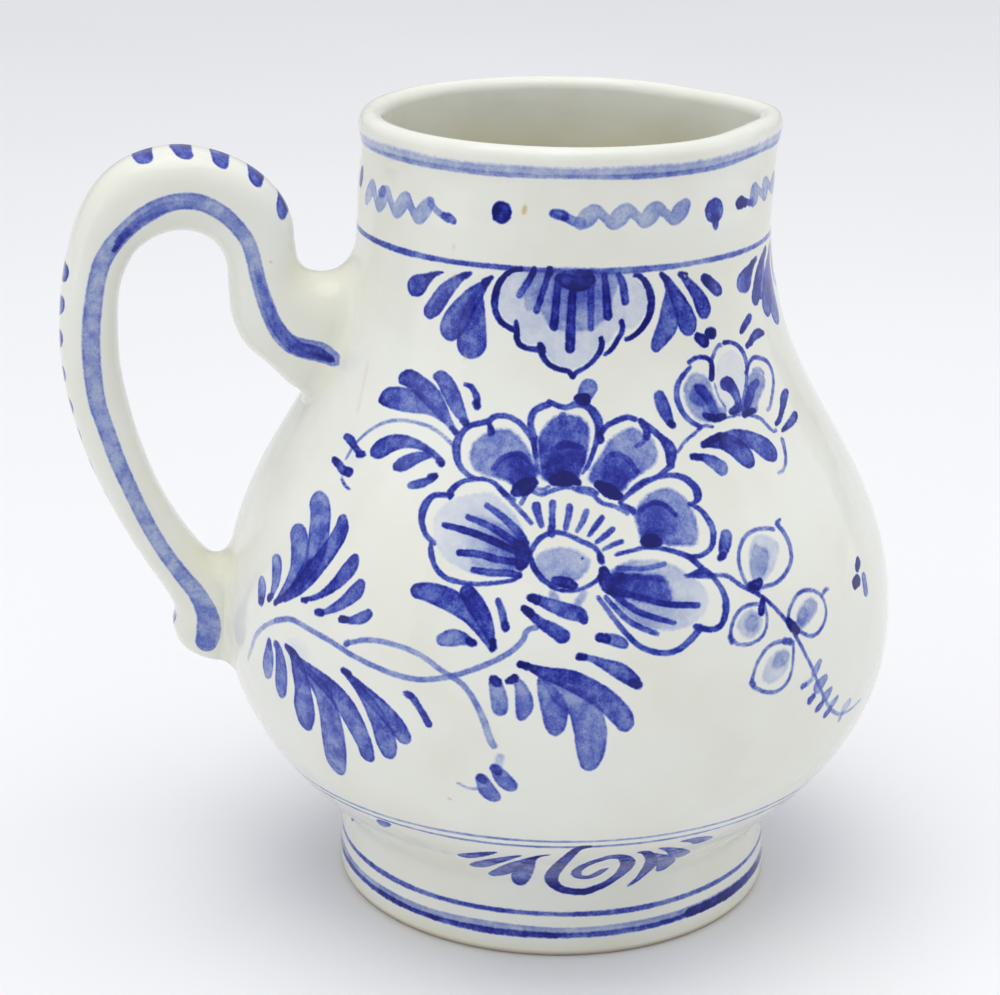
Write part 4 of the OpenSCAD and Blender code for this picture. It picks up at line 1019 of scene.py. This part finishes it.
painted_rows = spaced(outside, PAINT_STEP)
rim_rows = spaced(arc((RIM_CENTRE, RIM_Z), RIM_R, 0, 180, 60), RIM_STEP)[1:]
inside_rows = spaced(joined([rim_rows[-1]], inner_wall[::-1], inner_corner[::-1]), PLAIN_STEP)[1:-1]
under_rows = spaced(underside, UNDER_STEP)[1:-1]
profile = np.vstack([under_rows, painted_rows, rim_rows, inside_rows])
grid_r, grid_a = np.meshgrid(profile[:, 0], azimuths, indexing="ij")
grid_z = np.repeat(profile[:, 1:2], column_count, axis=1)
grid_r = grid_r + spout_shift(grid_a, grid_z)
grid_turn = np.radians(grid_a)
body_points = np.stack([grid_r * np.sin(grid_turn), -grid_r * np.cos(grid_turn), grid_z], -1).reshape(-1, 3)
poles = np.array([[0, 0, underside[0, 1]], [0, 0, FLOOR_Z]])
body_faces = grid_faces(len(profile), column_count)
body_faces += fan_faces(0, len(body_points), column_count, True)
body_faces += fan_faces((len(profile) - 1) * column_count, len(body_points) + 1, column_count, False)

# On the map, the painted outside takes most of the room, and some is left for the fans at both poles.
PLAIN_SHARE = 0.4
POLE_ROOM = 12
row_gap = np.linalg.norm(np.diff(profile, axis=0), axis=1)
is_plain = np.ones(len(row_gap), bool)
is_plain[len(under_rows):len(under_rows) + len(painted_rows)] = False
shares = np.where(is_plain, PLAIN_SHARE, 1)
map_rows = fitted(np.cumsum(np.r_[POLE_ROOM * PLAIN_SHARE, row_gap * shares, POLE_ROOM * PLAIN_SHARE]))
under_v, rows_v, floor_v = 0.001, [0.01 + 0.98 * v for v in map_rows[:-1]], 0.999
around_u = fitted(np.r_[azimuths, azimuths[0] + 360])
body_uv = grid_uv(around_u, rows_v)
body_uv += fan_uv(around_u, rows_v[0], under_v, True)
body_uv += fan_uv(around_u, rows_v[-1], floor_v, False)

# Below this height the foot ring is bare clay.
UNGLAZED_Z = 1.1
first_painted = len(under_rows) * column_count
last_painted = first_painted + len(painted_rows) * column_count
flat_a, flat_z = grid_a.reshape(-1), grid_z.reshape(-1)
painted = slice(first_painted, last_painted)
body_attributes = {}
for key, values in paint_body(flat_a[painted], flat_z[painted]).items():
    whole = np.full(len(body_points) + 2, FAR if key.endswith("edge") else 0.0)
    whole[painted] = values
    body_attributes[key] = whole
bare = np.zeros(len(body_points) + 2)
bare[:first_painted] = np.where(flat_z[:first_painted] < UNGLAZED_Z + 0.1, 1.0, 0.0)
bare[painted] = smooth((UNGLAZED_Z - flat_z[painted]) / 0.9)
body_attributes["bare"] = bare
body_attributes["tan"] = np.zeros(len(bare))
body_attributes["tan"][painted] = tan_marks(flat_a[painted], flat_z[painted])

# Inside the jug the glaze lies thick, and the same tint also paints the shade in its depth. That fades in
# from the rim down.
POOLED_AND_SHADED_INSIDE = 0.9
all_points = np.vstack([body_points, poles])
pooled_and_shaded = np.zeros(len(all_points))
pooled_and_shaded[last_painted:len(body_points)] = POOLED_AND_SHADED_INSIDE * smooth((107.5 - flat_z[last_painted:]) / 9)
pooled_and_shaded[-1] = POOLED_AND_SHADED_INSIDE
body_attributes["pool_and_shade"] = np.maximum(pooled_and_shaded, pooling_and_shade(all_points))
body = mesh_object("jug_body_glazed", all_points, body_faces, body_attributes, body_uv)

# ---- handle ----

# Outer edge, inner edge (each distance from the axis and height) and half of the width. The edges follow
# points that were picked in the photo and turned into reach and height in the same way.
STATIONS = [
    ((24.0, 91.0), (25.0, 69.0), 6.6), ((27.0, 90.3), (30.0, 70.5), 6.4), ((31.3, 88.6), (36.2, 72.8), 6.2),
    ((34.2, 88.8), (40.0, 76.3), 5.9), ((35.7, 90.4), (43.2, 79.4), 5.6), ((36.2, 93.0), (44.7, 82.8), 5.4),
    ((36.5, 96.0), (45.1, 86.6), 5.3), ((38.0, 99.4), (45.3, 90.2), 5.3),
    ((41.3, 102.7), (46.5, 92.9), 5.4), ((45.9, 105.0), (48.6, 94.5), 5.6),
    ((51.5, 106.0), (51.4, 95.0), 5.7), ((57.0, 104.9), (54.3, 94.3), 5.7),
    ((61.2, 102.2), (56.9, 92.5), 5.6), ((64.3, 97.7), (58.6, 89.7), 5.5),
    ((66.3, 91.7), (59.5, 86.5), 5.4), ((67.4, 84.7), (59.8, 82.0), 5.4), ((67.5, 77.6), (59.7, 76.8), 5.4),
    ((66.5, 71.0), (58.8, 71.2), 5.3), ((64.4, 63.5), (57.2, 65.0), 5.3), ((61.3, 56.3), (54.8, 58.6), 5.2),
    ((57.6, 49.3), (51.8, 53.2), 5.2), ((54.4, 44.0), (48.9, 49.4), 5.3), ((53.6, 41.4), (45.6, 46.6), 5.5),
    ((53.9, 39.3), (44.2, 42.9), 5.7), ((52.9, 36.6), (43.2, 39.4), 5.6), ((50.3, 34.9), (42.2, 36.9), 5.2),
    ((46.2, 34.4), (40.8, 36.0), 4.8), ((42.2, 34.5), (39.2, 35.5), 4.3), ((39.2, 34.7), (37.2, 35.3), 4.0),
]
STATION_REACH = 67.5      # furthest reach among the stations
SECTION_FULLNESS = 2.5    # 2 is an oval, and more is squarer
HANDLE_HALF = 5.5         # usual half of its width
HANDLE_SIDES = 80
HANDLE_RINGS = 260
SUNK = 1.3                # how deep the handle's ends go into the wall of the body
SIDE_FROM = 0.45          # share of the half width from which on the stripe may lie


def handle_lines():
    """Lines that run along the handle's surface, as an array of [step, line, coordinate]."""
    table = np.array([(*outer, *inner, half) for outer, inner, half in STATIONS])
    dense = curved(table, steps=36)
    angle = np.linspace(0, 2 * np.pi, HANDLE_SIDES, endpoint=False)
    across, sideways = (
        np.sign(t) * np.abs(t) ** (2 / SECTION_FULLNESS) for t in (np.cos(angle), np.sin(angle))
    )
    middle = (dense[:, 0:2] + dense[:, 2:4]) / 2
    half = (dense[:, 0:2] - dense[:, 2:4]) / 2
    flat = middle[:, None, :] + half[:, None, :] * across[None, :, None]
    y = -dense[:, 4][:, None] * sideways[None, :]
    stretch = HANDLE_REACH / STATION_REACH
    return np.stack([-flat[..., 0] * stretch, y, flat[..., 1]], -1), angle


def clearance(points):
    """Distance from the outside of the body, negative inside it."""
    return np.hypot(points[..., 0], points[..., 1]) - radius_at(points[..., 2])


def crossing(line_points, distance, from_end):
    """Position along a line, in steps, where it first stands off the body by a distance."""
    gap = clearance(line_points) - distance
    if from_end:
        i = len(gap) - 1
        while gap[i] < 0:
            i -= 1
        return i + gap[i] / (gap[i] - gap[i + 1])
    i = 0
    while gap[i] < 0:
        i += 1
    return i - gap[i] / (gap[i] - gap[i - 1])


def point_at(line_points, step):
    """The point at a position along a line, in steps."""
    i = int(np.clip(math.floor(step), 0, len(line_points) - 2))
    return line_points[i] + (line_points[i + 1] - line_points[i]) * (step - i)


surface_lines, section_angle = handle_lines()
starts = [crossing(surface_lines[:, k], -SUNK, False) for k in range(HANDLE_SIDES)]
ends = [crossing(surface_lines[:, k], -SUNK, True) for k in range(HANDLE_SIDES)]
handle_points = np.array([
    [
        point_at(surface_lines[:, k], start + (end - start) * j / (HANDLE_RINGS - 1))
        for k, (start, end) in enumerate(zip(starts, ends))
    ]
    for j in range(HANDLE_RINGS)
])
# The hidden ends are closed by a fan of triangles each.
cap_points = handle_points[[0, -1]].mean(axis=1)
first_cap = HANDLE_RINGS * HANDLE_SIDES
handle_faces = grid_faces(HANDLE_RINGS, HANDLE_SIDES)
handle_faces += fan_faces(0, first_cap, HANDLE_SIDES, True)
handle_faces += fan_faces(first_cap - HANDLE_SIDES, first_cap + 1, HANDLE_SIDES, False)

# Flat coordinates for the dashes: distance along the outer edge, and round the section from that edge.
handle_flat = handle_points.reshape(-1, 3)
outer_line = handle_points[:, 0]
outer_along = lengths_along(outer_line)
hoop_steps = np.linalg.norm(np.roll(handle_points, -1, axis=1) - handle_points, axis=2)
hoop_length = hoop_steps.sum(axis=1)
hoop = np.hstack([np.zeros((HANDLE_RINGS, 1)), np.cumsum(hoop_steps, axis=1)])[:, :-1]
girth = np.where(hoop > hoop_length[:, None] / 2, hoop - hoop_length[:, None], hoop).reshape(-1)

# The stripe along each side: distance from the axis, height and half width.
STRIPE = [
    (32, 78.5, 1.1), (33.7, 79.3, 1.4), (36, 79.8, 1.35), (37.9, 80.8, 1.2), (39.5, 83.1, 1.1),
    (41.2, 88, 1), (42.4, 93.3, 1), (43.7, 95.7, 1), (45.7, 97.9, 1.05), (48.7, 99.6, 1.1),
    (51.6, 99.8, 1.1), (54.2, 99.1, 1.1), (56.5, 97.7, 1.15), (58.9, 95.6, 1.15), (61, 93, 1.15),
    (62.2, 90.1, 1.15), (63.2, 84.5, 1.2), (63.5, 79.5, 1.2), (63.1, 73.5, 1.15), (62, 69.3, 1.1),
    (60.6, 64.7, 1.1), (58.3, 58.7, 1.05), (56.5, 54.6, 1.05), (54.7, 51.2, 1.05), (52.6, 48, 1.1),
    (50.6, 45.2, 1.2), (49.4, 42.4, 1.45), (49.2, 40.1, 1.7), (49.6, 38.2, 1.5),
]
STRIPE_INK = 0.37
# Where the loaded brush went over it once more.
STRIPE_SHADES = [
    ("line", (0.6, 0.3), [
        (32.2, 78.4, 0.6), (34.2, 79.2, 0.95), (36.4, 79.8, 1), (38.3, 81.5, 0.95), (39.8, 84.2, 0.8),
        (41, 88, 0.55), (41.8, 91.2, 0.3),
    ]),
    ("dark", (0.8, 0.25), [
        (32, 78.3, 0.35), (34.2, 78.9, 0.3), (36.8, 79.9, 0.32), (38.8, 82.6, 0.32), (40.3, 86.2, 0.3),
        (41.4, 89.6, 0.2),
    ]),
    ("line", (0.2, 0.5), [
        (49.5, 99.3, 0.4), (52.6, 99.2, 0.7), (55.2, 98, 0.8), (57.6, 96.4, 0.7), (59.6, 94.6, 0.4),
    ]),
    ("dark", (0.2, 0.85), [
        (53.6, 98.7, 0.15), (55.8, 97.6, 0.3), (57.8, 96.1, 0.36), (59.3, 94.5, 0.42), (60, 93.5, 0.3),
    ]),
    ("line", (0.1, 0.3), [
        (50.6, 45, 0.9), (49.4, 42, 1.2), (49.3, 40, 1.4), (49.6, 38.4, 1.2),
    ]),
]
# Short dashes across the back of the handle, closer together towards its lower end. The brush left
# out a few on the turn of the arch.
DASHES = [*range(0, 5), *range(8, 22)]


def dash_place(i):
    """Distance along the outer edge at which dash i lies."""
    return 18.5 + 5.35 * i - 0.035 * i * i


def paint_sides(points):
    """The stripes on both sides, which keep off the handle's back and inner edge."""
    painter = Painter(len(points))
    on_side = np.abs(points[:, 1]) / HANDLE_HALF
    side = np.nonzero(on_side > SIDE_FROM)[0]
    u, v = -points[side, 0], points[side, 2]
    painter.stroke("line", side, u, v, curved(STRIPE), STRIPE_INK)
    for family, ink, path in STRIPE_SHADES:
        painter.stroke(family, side, u, v, curved(path), ink)
    for layer in LAYERS:
        painter.edge[layer][side] += 2.1 * np.clip(0.95 - on_side[side], 0, 1)
    return painter


# Each dash has a pale stroke and the darker mark of the brush tip along one side of it.
handle_painter = paint_sides(handle_flat)
ring_along = np.repeat(outer_along, HANDLE_SIDES)
rng = np.random.default_rng(7)
for i in DASHES:
    at = dash_place(i)
    half = rng.uniform(1.3, 1.5)
    near_end = 3.4 - 0.11 * i + rng.uniform(-0.2, 0.2)
    lean = rng.uniform(-0.3, 0.3)
    where = np.nonzero((np.abs(ring_along - at) < 4) & (np.abs(girth) < 9))[0]
    dash = [
        (at + lean, near_end, half * 0.85), (at, 0.5, half), (at, -2.5, half), (at - lean, -4.4, half * 0.8),
    ]
    handle_painter.stroke("line", where, ring_along[where], girth[where], curved(dash), (0.62, 0.72))
    mark = [(at - 0.5, near_end, half * 0.3), (at - 0.6, 0.5, half * 0.4), (at - 0.4, -3, half * 0.6)]
    handle_painter.stroke("dark", where, ring_along[where], girth[where], curved(mark), (0.4, 0.9))
handle_attributes = {}
for key, values in handle_painter.attributes().items():
    at_caps = FAR if key.endswith("edge") else 0.0
    handle_attributes[key] = np.r_[values, at_caps, at_caps]
handle_all = np.vstack([handle_flat, cap_points])
handle_attributes["bare"] = np.zeros(len(handle_all))
# The handle's crooks take the darker yellowish tint: thick glaze and painted shade.
handle_attributes["pool_and_shade"] = pooling_and_shade(handle_all)
along_u, around_v = fitted(outer_along, 0.02, 0.98), fitted(np.arange(HANDLE_SIDES + 1))
handle_uv = [tuple((b, a) for a, b in corners) for corners in grid_uv(around_v, along_u)]
for ring_v, cap_v, outward in ((along_u[0], 0.004, True), (along_u[-1], 0.996, False)):
    handle_uv += [tuple((b, a) for a, b in corners) for corners in fan_uv(around_v, ring_v, cap_v, outward)]
handle = mesh_object("handle_glazed", handle_all, handle_faces, handle_attributes, handle_uv)

# ---- luting seams ----

FILLET_STEPS = 18
FILLET_PULL = 0.62        # how long the fillet keeps the direction of the handle and of the wall
SKIN = 0.03               # how far its edges lie under the surfaces they meet
BURIED = 0.7              # how deep its hidden side goes into the wall


def unit(vector):
    """The vector's direction, of length 1."""
    return vector / np.linalg.norm(vector)


def set_on_body(point, lift):
    """The point moved straight out or in to a distance from the outside of the body."""
    azimuth = math.degrees(math.atan2(point[0], -point[1]))
    return on_body(np.array(azimuth), np.array(point[2]), lift)


def fillet_profile(k, from_end, middle, climb, reach):
    """A line across the fillet, from handle to body, where line k of the handle meets the body."""
    edge = surface_lines[:, k]
    step = crossing(edge, 0, from_end)
    foot = point_at(edge, step)
    way = -1 if from_end else 1
    gone, top = 0.0, foot
    while gone < climb:
        step += way * 0.5
        there = point_at(edge, step)
        gone += np.linalg.norm(there - top)
        top = there
    down = unit(point_at(edge, step - way * 2) - top)
    up_wall = unit(set_on_body(foot + [0, 0, 0.2], 0) - set_on_body(foot - [0, 0, 0.2], 0))
    out = unit(np.cross([-foot[1], foot[0], 0], up_wall))
    away = foot - middle
    away = unit(away - out * away.dot(out))
    wall = set_on_body(foot + away * reach, -SKIN)
    back = unit(set_on_body(foot + away * (reach - 0.4), -SKIN) - wall)
    inward = unit(middle - top)
    start = top + inward * SKIN
    controls = [start, start + down * climb * FILLET_PULL, wall + back * reach * FILLET_PULL, wall]
    face = bezier(controls, FILLET_STEPS + 1)
    hidden = [
        set_on_body(wall, -BURIED), set_on_body(foot, -BURIED) + inward * 0.8, top + inward * 0.9,
    ]
    return np.vstack([face, hidden])


def seam_object(name, from_end, on_handle, on_wall):
    """A concave fillet of glazed slip round one end of the handle. It reaches up the handle and out over
    the body by distances that depend on the angle round the section."""
    crossings = [crossing(surface_lines[:, k], 0, from_end) for k in range(HANDLE_SIDES)]
    middle = np.mean([point_at(surface_lines[:, k], step) for k, step in enumerate(crossings)], axis=0)
    loops = np.array([
        fillet_profile(k, from_end, middle, on_handle(angle), on_wall(angle))
        for k, angle in enumerate(section_angle)
    ])
    count = loops.shape[1]
    points = loops.transpose(1, 0, 2).reshape(-1, 3)
    faces = grid_faces(count, HANDLE_SIDES, close_rows=True)
    attributes = paint_sides(points).attributes()
    attributes["bare"] = np.zeros(len(points))
    # The slip always has some of the darker yellowish tint, more in the crooks, where it is also painted
    # shade.
    attributes["pool_and_shade"] = np.maximum(pooling_and_shade(points), 0.15)
    uv = grid_uv(fitted(np.arange(HANDLE_SIDES + 1)), fitted(np.arange(count + 1)))
    seam = mesh_object(name, points, faces, attributes, uv)
    seam.data.set_sharp_from_angle(angle=math.radians(50))
    return seam


def graded(inner, outer):
    """A reach that goes from one distance at the handle's inner edge to another at its outer edge."""
    return lambda angle: inner + (outer - inner) * (0.5 + 0.5 * math.cos(angle))


upper_seam = seam_object(
    "upper_luting_seam_glazed", False, on_handle=graded(2.2, 3.2), on_wall=graded(2.0, 3.0)
)
lower_seam = seam_object(
    "lower_luting_seam_glazed", True, on_handle=graded(4.4, 1.3), on_wall=graded(4.6, 1.2)
)


# ---- materials ----


class Nodes:
    """Short words for building a material's node tree."""

    def __init__(self, name):
        self.material = bpy.data.materials.new(name)
        self.material.use_nodes = True
        self.tree = self.material.node_tree
        self.tree.nodes.clear()

    def add(self, kind, **settings):
        """A new node, with some of its settings."""
        node = self.tree.nodes.new(kind)
        for key, value in settings.items():
            setattr(node, key, value)
        return node

    def link(self, source, target):
        self.tree.links.new(source, target)

    def feed(self, socket, value):
        """Gives a socket a link or a constant, whichever the value is."""
        if isinstance(value, bpy.types.NodeSocket):
            self.link(value, socket)
        elif value is not None:
            socket.default_value = value

    def maths(self, operation, a, b=None, clamp=False):
        node = self.add("ShaderNodeMath", operation=operation, use_clamp=clamp)
        self.feed(node.inputs[0], a)
        self.feed(node.inputs[1], b)
        return node.outputs[0]

    def attribute(self, name):
        return self.add("ShaderNodeAttribute", attribute_name=name).outputs["Fac"]

    def noise(self, scale, detail, roughness=0.5):
        node = self.add("ShaderNodeTexNoise")
        self.link(self.add("ShaderNodeTexCoord").outputs["Object"], node.inputs["Vector"])
        node.inputs["Scale"].default_value = scale
        node.inputs["Detail"].default_value = detail
        node.inputs["Roughness"].default_value = roughness
        return node.outputs["Fac"]

    def span(self, value, low, high, to_low=0.0, to_high=1.0):
        """A smooth step from one pair of limits to another."""
        node = self.add("ShaderNodeMapRange", interpolation_type="SMOOTHSTEP")
        self.feed(node.inputs["Value"], value)
        for key, number in (("From Min", low), ("From Max", high), ("To Min", to_low), ("To Max", to_high)):
            node.inputs[key].default_value = number
        return node.outputs["Result"]

    def mix(self, factor, a, b):
        node = self.add("ShaderNodeMix", data_type="RGBA")
        self.feed(node.inputs["Factor"], factor)
        self.feed(node.inputs["A"], a)
        self.feed(node.inputs["B"], b)
        return node.outputs["Result"]

    def ramp(self, value, stops):
        """A colour for each value from 0 to 1, given at a few stops."""
        node = self.add("ShaderNodeValToRGB")
        self.link(value, node.inputs["Fac"])
        elements = node.color_ramp.elements
        while len(elements) < len(stops):
            elements.new(0.5)
        for element, (position, colour) in zip(elements, stops):
            element.position = position
            element.color = (*colour, 1)
        return node.outputs["Color"]

    def finish(self, colour, roughness, bump=None, bump_distance=0, **values):
        """The material, with its surface shader and any bump."""
        shader = self.add("ShaderNodeBsdfPrincipled")
        self.feed(shader.inputs["Base Color"], colour)
        self.feed(shader.inputs["Roughness"], roughness)
        for key, value in values.items():
            shader.inputs[key.replace("_", " ")].default_value = value
        if bump is not None:
            node = self.add("ShaderNodeBump")
            node.inputs["Distance"].default_value = bump_distance
            node.inputs["Strength"].default_value = 1.0
            self.link(bump, node.inputs["Height"])
            self.link(node.outputs["Normal"], shader.inputs["Normal"])
        self.link(shader.outputs["BSDF"], self.add("ShaderNodeOutputMaterial").inputs["Surface"])
        return self.material


def linear(r, g, b):
    """A colour given as 0 to 255 screen values."""
    out = []
    for c in (r, g, b):
        c = c / 255
        out.append(c / 12.92 if c <= 0.04045 else ((c + 0.055) / 1.055) ** 2.4)
    return tuple(out)


GLAZE = linear(234, 235, 227)
GLAZE_THICK = linear(229, 230, 218)
# Darker yellowish glaze where it lies thick, also used as painted shade in the crooks, inside and low on the
# foot.
GLAZE_POOL_AND_SHADE = linear(230, 226, 197)
BARE_CLAY = linear(176, 164, 146)
TAN = linear(205, 180, 120)
COBALT = [
    (0.0, GLAZE),
    (0.14, linear(204, 210, 222)),
    (0.3, linear(158, 170, 204)),
    (0.48, linear(104, 121, 190)),
    (0.64, linear(60, 76, 171)),
    (0.8, linear(28, 38, 147)),
    (0.92, linear(10, 17, 122)),
    (1.0, linear(2, 6, 100)),
]
# Softness of the edges of the paint, and how far they wander, by family of layer.
SOFTNESS = {"wash": 0.36, "line": 0.17, "dark": 0.2}
WANDER = {"wash": 0.65, "line": 0.26, "dark": 0.4}
CROSSING = 0.5            # how much a stroke darkens one that lies under it
FLOW = 0.01               # how far the glaze carries the paint over its edge
GLAZE_ROUGHNESS = 0.07
CLAY_ROUGHNESS = 0.75
RIPPLE_DEPTH = 0.00022    # metres


def glazed(name):
    """White glaze with the cobalt under it. Every layer of paint has its edge and ink as attributes."""
    n = Nodes(name)
    drift = n.noise(60, 3)
    colour = n.mix(n.span(drift, 0.35, 0.7), (*GLAZE, 1), (*GLAZE_THICK, 1))
    # Thick glaze and painted shade in the crooks, inside the jug and low on the foot, as one darker
    # yellowish tint.
    thick_glaze_and_shade = n.maths("MULTIPLY", n.attribute("pool_and_shade"), n.span(n.noise(120, 3), 0.3, 0.6, 0.6, 1.0))
    colour = n.mix(thick_glaze_and_shade, colour, (*GLAZE_POOL_AND_SHADE, 1))
    grain = n.span(n.noise(3200, 3, 0.75), 0.34, 0.66, 0.92, 1.12)
    mottle = n.span(n.noise(420, 4, 0.7), 0.3, 0.7, 0.74, 1.3)
    texture = n.maths("MULTIPLY", grain, mottle)
    ragged = n.maths("SUBTRACT", n.noise(1500, 3, 0.6), 0.5)
    total = None
    for family, layers in FAMILIES.items():
        wobble = n.maths("MULTIPLY", ragged, WANDER[family])
        for layer in layers:
            edge = n.maths("ADD", n.attribute(f"{layer}_edge"), wobble)
            cover = n.span(edge, FLOW - SOFTNESS[family], FLOW + SOFTNESS[family], 1, 0)
            rim = n.span(edge, -0.6, -0.1, 0.95, 1.12)
            strength = n.maths("MULTIPLY", n.maths("MULTIPLY", n.attribute(f"{layer}_ink"), rim), texture)
            ink = n.maths("MULTIPLY", cover, strength, clamp=True)
            if total is None:
                total = ink
                continue
            most = n.maths("MAXIMUM", total, ink)
            shared = n.maths("MULTIPLY", n.maths("MINIMUM", total, ink), CROSSING)
            total = n.maths("ADD", most, n.maths("MULTIPLY", shared, n.maths("SUBTRACT", 1.0, most)))
    colour = n.mix(n.span(total, 0.0, 0.06), colour, n.ramp(total, COBALT))
    specks = n.span(n.noise(520, 1), 0.8, 0.84)
    tan = n.maths("MAXIMUM", n.maths("MULTIPLY", specks, 0.5), n.attribute("tan"))
    colour = n.mix(tan, colour, (*TAN, 1))
    clay = n.attribute("bare")
    colour = n.mix(clay, colour, (*BARE_CLAY, 1))
    roughness = n.span(clay, 0, 1, GLAZE_ROUGHNESS, CLAY_ROUGHNESS)
    ripple = n.noise(170, 2, 0.4)
    return n.finish(colour, roughness, ripple, RIPPLE_DEPTH, IOR=1.52, Specular_IOR_Level=0.33)


jug_glaze = glazed("glaze_over_cobalt")
for piece in (body, handle, upper_seam, lower_seam):
    piece.data.materials.append(jug_glaze)

for piece, node, slot in (
    (body, "jug_body", "glazed_body"),
    (handle, "handle", "glazed_handle"),
    (upper_seam, "upper_luting_seam", "luting_slip"),
    (lower_seam, "lower_luting_seam", "luting_slip"),
):
    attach(piece, "root")
    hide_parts(node)

# ---- stage ----


def rectangle(name, width, depth, place):
    """A flat sheet that faces up."""
    mesh = bpy.data.meshes.new(name)
    x, y = width / 2, depth / 2
    mesh.from_pydata([(-x, -y, 0), (x, -y, 0), (x, y, 0), (-x, y, 0)], [], [(0, 1, 2, 3)])
    obj = bpy.data.objects.new(name, mesh)
    obj.location = place
    bpy.context.scene.collection.objects.link(obj)
    return obj


SPAN = HEIGHT * UNIT
FLOOR_SIDE = 60 * SPAN
floor = rectangle("floor", FLOOR_SIDE, FLOOR_SIDE, (0, 0, body_low.z))
paper = Nodes("stage_paper")
clouds = paper.span(paper.noise(4, 2), 0.3, 0.7)
paper_colour = paper.mix(clouds, (0.86, 0.86, 0.875, 1), (0.88, 0.88, 0.895, 1))
floor.data.materials.append(paper.finish(paper_colour, 0.6))


def area_light(name, place, width, height, power):
    """A softbox that faces the middle of the jug. Places and sizes are in heights of the jug."""
    data = bpy.data.lights.new(name, "AREA")
    data.shape = "RECTANGLE"
    data.size = width * SPAN
    data.size_y = height * SPAN
    data.energy = power
    obj = bpy.data.objects.new(name, data)
    obj.location = Vector(place) * SPAN
    obj.rotation_mode = "QUATERNION"
    obj.rotation_quaternion = (Vector((0, 0, 0.5)) * SPAN - obj.location).to_track_quat("-Z", "Y")
    bpy.context.scene.collection.objects.link(obj)


area_light("softbox_top", (-0.5, -0.5, 7.5), 6, 6, 2.25)
area_light("softbox_right", (7, 0.5, 3), 6, 8, 0.8)
area_light("softbox_left", (-7, -2, 2.5), 4, 5, 0.6)

# The room is white overhead and dimmer towards the horizon.
HORIZON = 0.42
ZENITH = 1.03
world = bpy.data.worlds.new("studio")
world.use_nodes = True
room = world.node_tree
background = room.nodes["Background"]
background.inputs["Color"].default_value = (0.97, 0.98, 1.0, 1)
direction = room.nodes.new("ShaderNodeTexCoord")
split = room.nodes.new("ShaderNodeSeparateXYZ")
brightness = room.nodes.new("ShaderNodeMapRange")
brightness.inputs["To Min"].default_value = HORIZON
brightness.inputs["To Max"].default_value = ZENITH
room.links.new(direction.outputs["Generated"], split.inputs["Vector"])
room.links.new(split.outputs["Z"], brightness.inputs["Value"])
room.links.new(brightness.outputs["Result"], background.inputs["Strength"])
bpy.context.scene.world = world
bpy.context.scene.view_settings.view_transform = "Standard"

# ---- camera ----

CAMERA_AZIMUTH = -10
CAMERA_DISTANCE = 332.6
CAMERA_HEIGHT = 170.7
AIM = Vector((-8, 1.4, 55.2))
ROLL = 0.012
LENS = 90.52
SENSOR = 36
camera_data = bpy.data.cameras.new("camera")
camera_data.sensor_width = SENSOR
camera_data.lens = LENS
camera = bpy.data.objects.new("camera", camera_data)
camera_turn = math.radians(CAMERA_AZIMUTH)
camera_x = math.sin(camera_turn) * CAMERA_DISTANCE
camera_y = -math.cos(camera_turn) * CAMERA_DISTANCE
camera.location = Vector((camera_x, camera_y, CAMERA_HEIGHT)) * UNIT
aim = (AIM * UNIT - camera.location).to_track_quat("-Z", "Y")
camera.rotation_mode = "QUATERNION"
camera.rotation_quaternion = aim @ Matrix.Rotation(ROLL, 3, "Z").to_quaternion()
bpy.context.scene.collection.objects.link(camera)
bpy.context.scene.camera = camera
